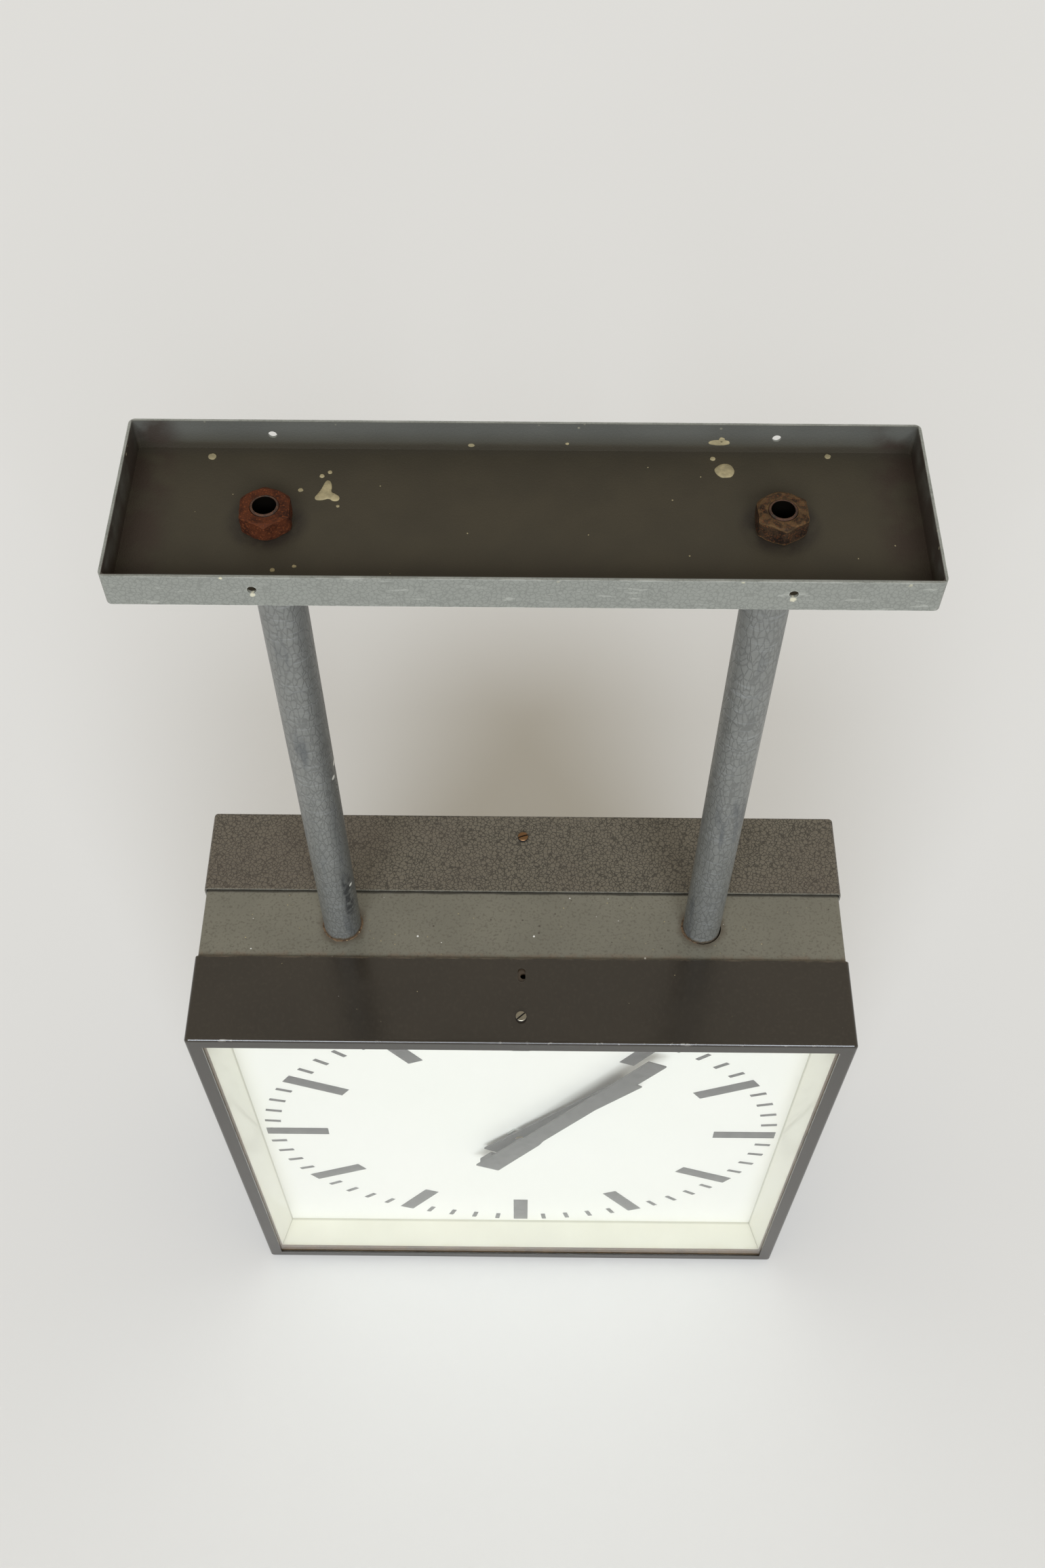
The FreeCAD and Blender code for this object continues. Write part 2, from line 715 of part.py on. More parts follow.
def make_terminal_block():
    block_body = new_body()
    outside = rounded_rectangle("terminal_length", "terminal_width", "1")
    pad(block_body, "XY", "-terminal_height", "0", outside)
    for across in ("-terminal_pitch", "0", "terminal_pitch"):
        well = circle_pair("terminal_well", "terminal_width / 2", along="Y")
        pocket(block_body, "XY", "-terminal_height", "-terminal_height / 2", well, across=across)
    keep(block_body, "terminal_block", z=WEB_FOOT)


# ---- one side of the case ----


def make_bezel(side):
    bezel = new_body()
    back = f"({RIM_FRONT} + bezel_depth)"
    outside = rounded_rectangle("bezel_width", "bezel_width", "bezel_corner")
    pad(bezel, "XZ", RIM_FRONT, back, outside)
    front = -size["dial_recess"]
    round_edges(
        bezel, "bezel_bend", lambda edge: all(abs(v.Y - front) < 0.01 for v in edge.Vertexes)
    )
    inside_width = "(bezel_width - 2 * bezel_skin)"
    inside = rounded_rectangle(inside_width, inside_width, "(bezel_corner - bezel_skin)")
    pocket(bezel, "XZ", RIM_BACK, back, inside)
    pocket(bezel, "XZ", RIM_FRONT, RIM_BACK, rectangle(RIM_OPENING, RIM_OPENING))
    roof = "bezel_width / 2"
    setback = f"{RIM_FRONT} + bezel_screw_setback"
    skin_foot = f"{roof} - bezel_skin"
    if side == "front":
        pocket(bezel, "XY", skin_foot, roof, circle("big_screw_radius"), up=setback)
        spare = obround("spare_slot_length", "spare_slot_width")
        spare_depth = f"{RIM_FRONT} + spare_slot_setback"
        pocket(bezel, "XY", skin_foot, roof, spare, up=spare_depth)
    else:
        worn = obround("worn_hole_length", "2 * big_screw_radius")
        pocket(bezel, "XY", skin_foot, roof, worn, up=setback)
    keep_on_side(bezel, "bezel", side)


def make_glass(side):
    glass = new_body()
    width = "(bezel_width - 2 * bezel_skin - 2 * glass_gap)"
    pad(glass, "XZ", RIM_BACK, GLASS_BACK, rounded_rectangle(width, width, "bezel_corner"))
    keep_on_side(glass, "glass", side)


def make_seal(side):
    seal = new_body()
    outer = f"({RIM_OPENING} + 2 * seal_width)"
    pad(
        seal, "XZ", GLASS_BACK, SEAL_BACK,
        rounded_rectangle(outer, outer, "bezel_corner"), rectangle(RIM_OPENING, RIM_OPENING),
    )
    keep_on_side(seal, "glass_seal", side)


def make_reveal(side):
    """Four sloping sides between the seal and the dial, with a foot that is screwed down."""
    wide = f"({RIM_OPENING} + 2 * reveal_skin)"
    narrow = f"({DIAL_OPENING} + 2 * reveal_skin)"
    outer = frustum(wide, narrow, SEAL_BACK, "0")
    half = f"{DIAL_WIDTH} / 2"
    foot = block((f"-{half}", half), ("-reveal_skin", "0"), (f"-{half}", half))
    inner = frustum(RIM_OPENING, DIAL_OPENING, SEAL_BACK, "0")
    holes = [rod("small_screw_radius", "-reveal_skin", "0", x, z) for x, z in DIAL_CORNERS]
    keep_on_side(cut(fuse(outer, foot), inner, *holes), "reveal_frame", side)


def make_dial(side):
    dial = new_body()
    pad(dial, "XZ", "0", "dial_skin", rectangle(DIAL_WIDTH, DIAL_WIDTH))
    pocket(dial, "XZ", "0", "dial_skin", circle("bush_radius + running_gap"))
    one_hole = pocket(
        dial, "XZ", "0", "dial_skin", circle("small_screw_radius"), across=DIAL_SCREW, up=DIAL_SCREW
    )
    turn_copies(dial, one_hole, "Y", 4)
    keep_on_side(dial, "dial_plate", side)


def make_dial_marks(side):
    """Twelve bars and forty-eight ticks, each a thin separate piece on the dial's face."""
    marks = new_body(several=True)
    for length, width, count in (
        ("bar_length", "bar_width", 12),
        ("tick_length", "tick_width", 60),
    ):
        middle = f"{MARK_RADIUS} - {length} / 2"
        mark = pad(marks, "XZ", "-mark_skin", "0", rectangle(width, length), up=middle)
        turn_copies(marks, mark, "Y", count)
    keep_on_side(marks, "dial_marks", side)


def screw(radius, length, head_radius, head_height, place):
    """A slotted cheese-head screw with its head's seat at its own origin, pointing down."""
    shank = upright(radius, f"-({length})", "0")
    head = upright(head_radius, "0", head_height)
    slot = block(
        (f"-{head_radius}", head_radius),
        ("-screw_slot / 2", "screw_slot / 2"),
        (f"{head_height} / 2", head_height),
    )
    whole = cut(fuse(shank, head), slot)
    whole.Placement = place
    return whole


def make_bezel_screw(side):
    """The one screw that stops the bezel from sliding off the body."""
    rotation = Rotation(Vector(0, 0, 1), 42 if side == "front" else 20)
    place = FreeCAD.Placement(Vector(0, 0, 0), rotation)
    piece = screw(
        "big_screw_radius", "big_screw_length", "big_head_radius", "big_head_height", place
    )
    depth = f"{RIM_FRONT} + bezel_screw_setback"
    bind(piece, Placement__Base__y=depth, Placement__Base__z="bezel_width / 2")
    keep_on_side(group(piece), "bezel_screw", side)


def make_dial_screws():
    """One in each corner of a dial, through the reveal frame's foot into the ledge."""
    length = "reveal_skin + dial_skin + ledge_skin + screw_tail"
    screws = []
    for sign, half_turn in (("-", 0), ("", 180)):
        side_turn = Rotation(Vector(0, 0, 1), half_turn)
        for number, (across, up) in enumerate(DIAL_CORNERS):
            slot_turn = Rotation(Vector(0, 0, 1), 35 + 50 * number)
            rotation = side_turn * Rotation(Vector(1, 0, 0), 90) * slot_turn
            place = FreeCAD.Placement(Vector(0, 0, 0), rotation)
            piece = screw("small_screw_radius", length, "small_head_radius", "small_head_height", place)
            bind(piece, Placement__Base__x=across, Placement__Base__z=up)
            bind(piece, Placement__Base__y=f"{sign}({DIAL_OFFSET} + reveal_skin)")
            screws.append(piece)
    keep(group(*screws), "dial_screws", z=CASE_CENTRE)


# ---- hands ----


def make_minute_hand(side):
    hand = new_body()
    left = [
        ("-minute_tail_half", "-minute_tail"),
        ("-minute_root_half", "minute_root_end"),
        ("-minute_half", "minute_blade_start"),
        ("-minute_half", MINUTE_REACH),
    ]
    right = [(across.lstrip("-"), along) for across, along in reversed(left)]
    pad(hand, "XZ", "-minute_height", MINUTE_BACK, outline(left + right))
    keep_on_side(hand, "minute_hand", side, size["minute_angle"])
    tail = "-weight_start - weight_length / 2"
    weight = new_body()
    plan = rectangle("weight_width", "weight_length")
    pad(weight, "XZ", MINUTE_BACK, f"{MINUTE_BACK} + weight_skin", plan, up=tail)
    keep_on_side(weight, "hand_counterweight", side, size["minute_angle"])
    collet = rod("collet_radius", MINUTE_BACK, f"{MINUTE_BACK} + collet_length")
    seat = rod("hand_seat_radius", MINUTE_BACK, f"{MINUTE_BACK} + collet_length")
    keep_on_side(cut(collet, seat), "hand_collet", side)


def make_hour_hand(side):
    hand = new_body()
    middle = f"({HOUR_REACH} - hour_tail) / 2"
    plan = rectangle("hour_width", f"({HOUR_REACH} + hour_tail)")
    pad(hand, "XZ", "-hour_height", HOUR_BACK, plan, up=middle)
    pocket(hand, "XZ", "-hour_height", HOUR_BACK, circle("pipe_radius"))
    keep_on_side(hand, "hour_hand", side, size["hour_angle"])


# ---- movement ----


def plate_pad(body, low, high):
    plan = rounded_rectangle("plate_width", "plate_height", "pillar_radius")
    pad(body, "XZ", low, high, plan, up=PLATE_CENTRE)


def make_front_plate(side):
    """The plate behind the dial, with the centre bush and the motion wheel's stud."""
    plate = new_body()
    plate_pad(plate, PLATE_FRONT, PLATE_BACK)
    pad(plate, "XZ", "-bush_reach", PLATE_FRONT, circle("bush_radius"))
    pocket(plate, "XZ", "-bush_reach", PLATE_BACK, circle("pipe_radius + running_gap"))
    pivot = circle("rotor_pivot_radius + running_gap")
    pocket(plate, "XZ", PLATE_FRONT, PLATE_BACK, pivot, up=ROTOR_AXIS)
    pad(plate, "XZ", PLATE_BACK, STUD_END, circle("stud_radius"), up=MOTION_AXIS)
    head_end = f"{STUD_END} + stud_head"
    pad(plate, "XZ", STUD_END, head_end, circle("stud_head_radius"), up=MOTION_AXIS)
    keep_on_side(plate, "movement_front_plate", side)


def make_back_plate(side):
    """The plate at the rear of the movement, with four posts that carry the pole pieces."""
    plate = new_body()
    back = f"{REAR_PLATE} + plate_skin"
    plate_pad(plate, REAR_PLATE, back)
    minute_pivot = circle("rear_pivot_radius + running_gap")
    pocket(plate, "XZ", REAR_PLATE, back, minute_pivot)
    pivot = circle("rotor_pivot_radius + running_gap")
    pocket(plate, "XZ", REAR_PLATE, back, pivot, up=ROTOR_AXIS)
    for up in (f"{ROTOR_AXIS} + pole_height / 4", CORE_AXIS):
        posts = circle_pair("post_radius", "(core_length + leg_width)")
        pad(plate, "XZ", MAGNET_END, REAR_PLATE, posts, up=up)
    keep_on_side(plate, "movement_back_plate", side)


def make_pillars(side):
    reach_x = "(plate_width / 2 - pillar_inset)"
    reach_z = "(plate_height / 2 - pillar_inset)"
    spots = [(x, z) for x in ("-", "") for z in ("-", "")]
    rods = [
        rod("pillar_radius", PLATE_BACK, REAR_PLATE, f"{x}{reach_x}", f"{PLATE_CENTRE} + {z}{reach_z}")
        for x, z in spots
    ]
    keep_on_side(group(*rods), "movement_pillars", side)


def make_dial_nuts():
    """A thin nut on each centre bush, which clamps the movement to the dial."""
    nuts = []
    for low in (f"-{DIAL_OFFSET} - dial_nut_height", DIAL_OFFSET):
        nut = hexagon("dial_nut_flats", "dial_nut_height", Rotation(Vector(1, 0, 0), -90))
        bind(nut, Placement__Base__y=low)
        nuts.append(cut(nut, rod("bush_radius", low, f"{low} + dial_nut_height")))
    keep(group(*nuts), "dial_nuts", z=CASE_CENTRE)


def make_minute_arbor(side):
    """The minute arbor and its cannon pinion, from the hand's seat to the rear pivot."""
    collet_end = f"{MINUTE_BACK} + collet_length"
    wheel_end = f"({MINUTE_WHEEL} + wheel_skin)"
    shoulder = f"({REAR_PLATE} - pivot_shoulder)"
    back = f"{REAR_PLATE} + plate_skin"
    pieces = [
        rod("hand_seat_radius", MINUTE_BACK, collet_end),
        rod("arbor_radius", collet_end, wheel_end),
        gear("motion_module", "cannon_teeth", CANNON_FRONT, CANNON_BACK, gap=True),
        rod("arbor_radius + pivot_shoulder", CANNON_BACK, MINUTE_WHEEL),
        rod("rear_arbor_radius", wheel_end, shoulder),
        rod("rear_pivot_radius", shoulder, back),
    ]
    keep_on_side(fuse(*pieces), "minute_arbor", side)


def make_minute_wheel(side):
    low, high = MINUTE_WHEEL, f"{MINUTE_WHEEL} + wheel_skin"
    wheel = gear("drive_module", "minute_teeth", low, high, points="down")
    keep_on_side(cut(wheel, rod("arbor_radius", low, high)), "minute_wheel", side)


def motion_pinion_module():
    """The second pair's module, so that both pairs share one centre distance."""
    first_pair = size["cannon_teeth"] + size["motion_teeth"]
    second_pair = size["hour_teeth"] + size["motion_pinion_teeth"]
    return size["motion_module"] * first_pair / second_pair


def make_motion_wheel(side):
    """The motion wheel and its pinion, which turn on the stud."""
    wheel_end = f"{MOTION_WHEEL} + wheel_skin"
    wheel = gear("motion_module", "motion_teeth", MOTION_WHEEL, wheel_end, MOTION_AXIS, points="down")
    pinion = gear(
        "hour_module", "motion_pinion_teeth", HOUR_WHEEL, MOTION_WHEEL, MOTION_AXIS, "down", gap=True
    )
    bore = rod("stud_radius + running_gap", HOUR_WHEEL, wheel_end, up=MOTION_AXIS)
    keep_on_side(cut(fuse(wheel, pinion), bore), "motion_wheel", side)


def make_hour_wheel(side):
    """The hour wheel and the pipe that carries the hour hand, round the minute arbor."""
    wheel_end = f"{HOUR_WHEEL} + wheel_skin"
    wheel = gear("hour_module", "hour_teeth", HOUR_WHEEL, wheel_end)
    pipe = rod("pipe_radius", PIPE_FRONT, HOUR_WHEEL)
    bore = rod("arbor_radius + running_gap", PIPE_FRONT, wheel_end)
    keep_on_side(cut(fuse(wheel, pipe), bore), "hour_wheel", side)


def make_rotor(side):
    shoulder_front = f"({PLATE_BACK} + pivot_shoulder)"
    shoulder_back = f"({REAR_PLATE} - pivot_shoulder)"
    pinion = gear(
        "drive_module", "rotor_teeth", ROTOR_PINION, ROTOR_PINION_END, ROTOR_AXIS, "up", gap=True
    )
    pieces = [
        rod("rotor_pivot_radius", PLATE_FRONT, shoulder_front, up=ROTOR_AXIS),
        rod("rotor_arbor_radius", shoulder_front, shoulder_back, up=ROTOR_AXIS),
        rod("rotor_pivot_radius", shoulder_back, f"{REAR_PLATE} + plate_skin", up=ROTOR_AXIS),
        pinion,
    ]
    keep_on_side(fuse(*pieces), "rotor_arbor", side)
    disc = rod("magnet_radius", MAGNET, MAGNET_END, up=ROTOR_AXIS)
    bore = rod("rotor_arbor_radius", MAGNET, MAGNET_END, up=ROTOR_AXIS)
    keep_on_side(cut(disc, bore), "rotor_magnet", side)


def make_stator(side):
    """Two pole pieces either side of the rotor, each with a leg down to the coil's core."""
    depth = (MAGNET, MAGNET_END)
    inner = "core_length / 2"
    outer = f"({inner} + leg_width)"
    gap = "pole_slit / 2"
    foot = f"{CORE_AXIS} - core_height / 2"
    hips = f"{ROTOR_AXIS} - pole_height / 2"
    crown = f"{ROTOR_AXIS} + pole_height / 2"
    pieces = []
    for shoe, leg in (
        ((gap, outer), (inner, outer)),
        ((f"-{outer}", f"-{gap}"), (f"-{outer}", f"-{inner}")),
    ):
        pole = fuse(block(shoe, depth, (hips, crown)), block(leg, depth, (foot, hips)))
        rotor_room = rod("magnet_radius + air_gap", MAGNET, MAGNET_END, up=ROTOR_AXIS)
        pieces.append(cut(pole, rotor_room))
    core_top = f"{CORE_AXIS} + core_height / 2"
    pieces.append(block((f"-{inner}", inner), depth, (foot, core_top)))
    keep_on_side(group(*pieces), "stator_poles", side)


def make_coil(side):
    """The bobbin on the core, and the winding between its cheeks."""
    middle = f"({MAGNET} + magnet_length / 2)"
    end = "(core_length / 2)"
    cheek = f"({end} - bobbin_flange)"
    tube = level("bobbin_radius", f"-{end}", end, middle, CORE_AXIS)
    cheeks = [
        level("bobbin_flange_radius", f"-{end}", f"-{cheek}", middle, CORE_AXIS),
        level("bobbin_flange_radius", cheek, end, middle, CORE_AXIS),
    ]
    half = "(core_height / 2 + bobbin_slack)"
    window = block(
        (f"-{end}", end),
        (f"{MAGNET} - bobbin_slack", f"{MAGNET_END} + bobbin_slack"),
        (f"{CORE_AXIS} - {half}", f"{CORE_AXIS} + {half}"),
    )
    keep_on_side(cut(fuse(tube, *cheeks), window), "coil_bobbin", side)
    turns = level("winding_radius", f"-{cheek}", cheek, middle, CORE_AXIS)
    hollow = level("bobbin_radius", f"-{cheek}", cheek, middle, CORE_AXIS)
    keep_on_side(cut(turns, hollow), "coil_winding", side)


def make_side(side):
    for make in (
        make_bezel, make_glass, make_seal, make_reveal, make_dial, make_dial_marks,
        make_bezel_screw, make_minute_hand, make_hour_hand,
        make_front_plate, make_back_plate, make_pillars, make_minute_arbor,
        make_minute_wheel, make_motion_wheel, make_hour_wheel, make_rotor, make_stator, make_coil,
    ):
        make(side)


def export():
    """Check every object, then write each sub-part under its own name."""
    doc.recompute()
    for item in doc.Objects:
        if "Invalid" in item.State or "Error" in item.State:
            raise RuntimeError(f"{item.Label} failed: {item.State}")
    for label, piece in parts.items():
        if piece.Shape.isNull() or not piece.Shape.isValid() or not piece.Shape.Solids:
            raise RuntimeError(f"{label} has no valid solid")
    os.makedirs("parts", exist_ok=True)
    for label, piece in parts.items():
        piece.Shape.exportStep(f"parts/{label}.step")


size["hour_module"] = motion_pinion_module()
make_canopy()
for tube_side in ("left", "right"):
    make_tube(tube_side)
make_nipples()
make_nuts()
make_body_shell()
make_body_top()
make_dial_ledges()
make_dial_screws()
make_dial_nuts()
make_hanger_channel()
make_terminal_block()
for dial_side in ("front", "rear"):
    make_side(dial_side)
export()
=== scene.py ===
import math

import bmesh
import bpy
from bpy.props import FloatProperty, FloatVectorProperty, IntProperty, PointerProperty
from mathutils import Matrix, Vector, noise


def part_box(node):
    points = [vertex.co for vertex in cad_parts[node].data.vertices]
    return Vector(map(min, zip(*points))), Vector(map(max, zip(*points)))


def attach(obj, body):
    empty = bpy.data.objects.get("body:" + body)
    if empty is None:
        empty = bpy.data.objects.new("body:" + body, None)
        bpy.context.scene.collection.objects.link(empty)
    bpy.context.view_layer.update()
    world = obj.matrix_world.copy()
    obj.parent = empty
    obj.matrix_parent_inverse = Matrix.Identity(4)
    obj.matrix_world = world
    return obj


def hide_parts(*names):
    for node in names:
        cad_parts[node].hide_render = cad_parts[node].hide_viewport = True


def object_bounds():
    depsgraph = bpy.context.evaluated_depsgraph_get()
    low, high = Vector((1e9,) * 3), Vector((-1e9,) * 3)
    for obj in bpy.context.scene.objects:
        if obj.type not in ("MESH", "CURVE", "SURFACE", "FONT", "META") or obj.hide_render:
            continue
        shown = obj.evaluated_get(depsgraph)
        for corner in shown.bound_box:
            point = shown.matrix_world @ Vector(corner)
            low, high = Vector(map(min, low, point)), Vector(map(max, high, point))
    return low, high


bl_info = {
    "name": "Station Clock Finisher",
    "version": (1, 0, 0),
    "blender": (4, 5, 0),
    "location": "3D View > Sidebar > Clock",
    "description": "Dresses the frame of a double sided station clock with its finishes and small pieces",
    "category": "Object",
}

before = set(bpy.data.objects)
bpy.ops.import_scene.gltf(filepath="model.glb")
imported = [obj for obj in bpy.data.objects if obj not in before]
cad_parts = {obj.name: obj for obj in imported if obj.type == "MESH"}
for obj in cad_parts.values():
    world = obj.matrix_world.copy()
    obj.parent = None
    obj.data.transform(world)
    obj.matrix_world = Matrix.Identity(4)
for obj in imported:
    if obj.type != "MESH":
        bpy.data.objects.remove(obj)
CAD_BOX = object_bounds()

MM = 0.001
SIDES = ("front", "rear")

# where the frame's pieces lie, in metres
TRAY_LOW, TRAY_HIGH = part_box("canopy_tray")
NUT_LOW, NUT_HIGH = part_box("canopy_nuts")
TUBE_LOW, TUBE_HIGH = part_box("suspension_tube_right")
BEZEL_LOW, BEZEL_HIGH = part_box("bezel_front")
DIAL_LOW, DIAL_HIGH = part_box("dial_plate_front")
MARK_LOW, MARK_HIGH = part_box("dial_marks_front")

TUBE_X = (TUBE_LOW.x + TUBE_HIGH.x) / 2
DIAL_FACE = -DIAL_LOW.y
DIAL_CENTRE = (DIAL_LOW.z + DIAL_HIGH.z) / 2
TRAY_FLOOR = NUT_LOW.z
BODY_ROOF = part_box("body_top")[1].z
BEZEL_ROOF = BEZEL_HIGH.z
SCREW_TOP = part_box("bezel_screw_front")[1].z
SCREW_Y = BEZEL_LOW.y + 18.2 * MM
SPARE_SLOT_Y = BEZEL_HIGH.y - 12.1 * MM
TRAY_HOLE = (117.6 * MM, TRAY_LOW.y, -11.2 * MM)


def tint(red, green, blue):
    """A colour given as display values from 0 to 255, as linear light."""
    straight = []
    for value in (red / 255, green / 255, blue / 255):
        straight.append(value / 12.92 if value <= 0.04045 else ((value + 0.055) / 1.055) ** 2.4)
    return tuple(straight)


def shade(colour, factor):
    return tuple(min(1.0, factor * channel) for channel in colour)


# ---- what a user would change ----


def colour_setting(name, description, colour):
    return FloatVectorProperty(
        name=name, description=description, subtype="COLOR", size=3, min=0.0, max=1.0, default=colour
    )


def length_setting(name, description, millimetres):
    return FloatProperty(
        name=name, description=description, unit="LENGTH", default=millimetres * MM, precision=5
    )


class ClockColours(bpy.types.PropertyGroup):
    """The paints and metals of the clock."""

    canopy: colour_setting("Canopy paint", "Outside of the canopy tray", tint(122, 124, 117))
    canopy_inside: colour_setting("Canopy inside", "Floor of the canopy tray", tint(54, 48, 34))
    tube: colour_setting("Tube paint", "Hammered paint on the tubes", tint(113, 114, 110))
    body: colour_setting("Body paint", "Paint on the body shell", tint(110, 107, 94))
    bezel_front: colour_setting("Front bezel paint", "Satin paint on the front bezel", tint(38, 32, 24))
    bezel_rear: colour_setting("Rear bezel paint", "Hammered paint on the rear bezel", tint(93, 87, 75))
    dial: colour_setting("Dial enamel", "White face of the dials", tint(234, 231, 223))
    mark: colour_setting("Marks", "Bars and ticks printed on the dials", tint(66, 64, 62))
    hand: colour_setting("Hands", "Paint on the hands", tint(60, 58, 55))
    reveal: colour_setting("Reveal paint", "Ivory gloss of the reveal frames", tint(214, 210, 190))
    rust: colour_setting("Rust", "Red rust on the nuts", tint(72, 34, 14))
    splash: colour_setting("Splashes", "Old plaster and paint in the canopy", tint(154, 142, 108))
    ground: colour_setting("Floor", "The floor the clock stands on", tint(222, 221, 218))


class ClockSizes(bpy.types.PropertyGroup):
    """The sizes of the small pieces that are made here."""

    nut_flats: length_setting("Nut across flats", "Width of the hexagon nuts", 22.0)
    nut_bore: length_setting("Nut bore", "Radius of the nut's thread", 6.5)
    thread_pitch: length_setting("Thread pitch", "Pitch of the nipples' thread", 1.0)
    nipple_bore: length_setting("Nipple bore", "Radius of the cable way through a nipple", 5.3)
    screw_head: length_setting("Screw head", "Radius of the bezel screws' heads", 3.5)
    screw_head_height: length_setting("Head height", "Height of the bezel screws' heads", 2.4)
    screw_slot: length_setting("Screw slot", "Width of the slot in the bezel screws", 1.0)
    bar_length: length_setting("Bar length", "Length of the hour bars", 45.6)
    bar_width: length_setting("Bar width", "Width of the hour bars", 11.5)
    tick_length: length_setting("Tick length", "Length of the minute ticks", 11.6)
    tick_width: length_setting("Tick width", "Width of the minute ticks", 3.5)
    mark_corner: length_setting("Mark corner", "Corner radius of bars and ticks", 0.25)
    wire: length_setting("Coil wire", "Radius of the coils' wire with its enamel", 0.3)
    wire_layers: IntProperty(name="Wire layers", description="Layers of wire on a coil", default=4)


def colours():
    return bpy.context.scene.clock_colours


def sizes():
    return bpy.context.scene.clock_sizes


# ---- building node trees ----


class Nodes:
    """Adds nodes to one tree and links them. where is the vector that patterns are laid out by."""

    def __init__(self, tree):
        self.tree = tree
        self.where = None

    def put(self, socket, value):
        """Set an input to a number, a colour or another node's output."""
        if isinstance(value, bpy.types.NodeSocket):
            self.tree.links.new(value, socket)
        elif socket.type == "RGBA" and len(value) == 3:
            socket.default_value = (*value, 1.0)
        else:
            socket.default_value = value

    def add(self, kind, values=None, **settings):
        node = self.tree.nodes.new(kind)
        for name, value in settings.items():
            setattr(node, name, value)
        for key, value in (values or {}).items():
            self.put(node.inputs[key], value)
        return node

    def first(self, kind, values=None, **settings):
        """Add a node and return its first output."""
        return self.add(kind, values, **settings).outputs[0]

    def calc(self, operation, *values, clamp=False):
        return self.first("ShaderNodeMath", dict(enumerate(values)), operation=operation, use_clamp=clamp)

    def times(self, product, *others):
        for other in others:
            product = self.calc("MULTIPLY", product, other)
        return product

    def plus(self, total, *others):
        for other in others:
            total = self.calc("ADD", total, other)
        return total

    def minus(self, first, second):
        return self.calc("SUBTRACT", first, second)

    def absolute(self, value):
        return self.calc("ABSOLUTE", value)

    def step(self, value, low, high, to_low=0.0, to_high=1.0):
        """A smooth step between two values."""
        values = {"Value": value, "From Min": low, "From Max": high, "To Min": to_low, "To Max": to_high}
        return self.add("ShaderNodeMapRange", values, interpolation_type="SMOOTHSTEP").outputs["Result"]

    def mix(self, factor, first, second, blend="MIX"):
        values = {0: factor, 6: first, 7: second}
        return self.add("ShaderNodeMix", values, data_type="RGBA", blend_type=blend).outputs[2]

    def lay(self, colour, over, *masks):
        """Lay a second colour over the first, as far as the masks' product lets it."""
        return self.mix(self.times(*masks), colour, over)

    def grain(self, scale, detail=3.0, vector=None, distortion=0.0):
        values = {"Vector": vector or self.where, "Scale": scale, "Detail": detail, "Distortion": distortion}
        return self.add("ShaderNodeTexNoise", values).outputs["Fac"]

    def patches(self, scale, low=0.3, high=0.7, detail=3.0):
        """Soft-edged patches of 0 and 1."""
        return self.step(self.grain(scale, detail), low, high)

    def stretched(self, x, y, z):
        values = {"Vector": self.where, "Scale": (x, y, z)}
        return self.first("ShaderNodeMapping", values, vector_type="POINT")

    def use(self, group, **values):
        """Place one of the groups below."""
        node = self.tree.nodes.new("ShaderNodeGroup")
        node.node_tree = bpy.data.node_groups[group]
        values.setdefault("Vector", self.where)
        for key, value in values.items():
            self.put(node.inputs[key], value)
        return node.outputs


# ---- effects that several finishes share ----


class Group(Nodes):
    """A shader group. Its inputs are a vector, the numbers given, and a colour for each None."""

    def __init__(self, name, outputs, **inputs):
        super().__init__(bpy.data.node_groups.new(name, "ShaderNodeTree"))
        sockets = self.tree.interface
        sockets.new_socket("Vector", in_out="INPUT", socket_type="NodeSocketVector")
        for label, value in inputs.items():
            if value is None:
                sockets.new_socket(label, in_out="INPUT", socket_type="NodeSocketColor")
            else:
                socket = sockets.new_socket(label, in_out="INPUT", socket_type="NodeSocketFloat")
                socket.default_value = value
        for label in outputs:
            kind = "NodeSocketColor" if label == "Color" else "NodeSocketFloat"
            sockets.new_socket(label, in_out="OUTPUT", socket_type=kind)
        self.given = self.tree.nodes.new("NodeGroupInput").outputs
        self.result = self.tree.nodes.new("NodeGroupOutput").inputs
        self.where = self.given["Vector"]

    def give(self, **results):
        for label, value in results.items():
            self.put(self.result[label], value)


def build_hammer_group():
    """Hammer paint: small swellings parted by thin dark veins, as a tone and a height."""
    group = Group("Hammer Paint", ("Tone", "Height"), Swelling=2.0, Variation=0.5)
    vein_wander = 1.6 * MM
    vein_width = 0.13
    scale = group.calc("DIVIDE", 1000.0, group.given["Swelling"])
    wander = group.add("ShaderNodeTexNoise", {"Vector": group.where, "Scale": scale, "Detail": 2.0})
    push = {0: wander.outputs["Color"], 1: (vein_wander,) * 3}
    shifted = {0: group.where, 1: group.first("ShaderNodeVectorMath", push, operation="MULTIPLY")}
    moved = group.first("ShaderNodeVectorMath", shifted, operation="ADD")
    cells = group.add("ShaderNodeTexVoronoi", {"Vector": moved, "Scale": scale}, feature="DISTANCE_TO_EDGE")
    swell = group.step(cells.outputs["Distance"], 0.0, vein_width)
    broad = group.grain(group.times(scale, 0.16), 2.0)
    fine = group.grain(group.times(scale, 1.9), 1.0)
    drift = group.times(group.minus(broad, 0.5), group.given["Variation"])
    speckle = group.times(group.minus(fine, 0.5), 0.9)
    tone = group.plus(group.times(swell, 0.75), drift, speckle)
    group.give(Tone=group.calc("MULTIPLY", tone, 1.0, clamp=True), Height=swell)


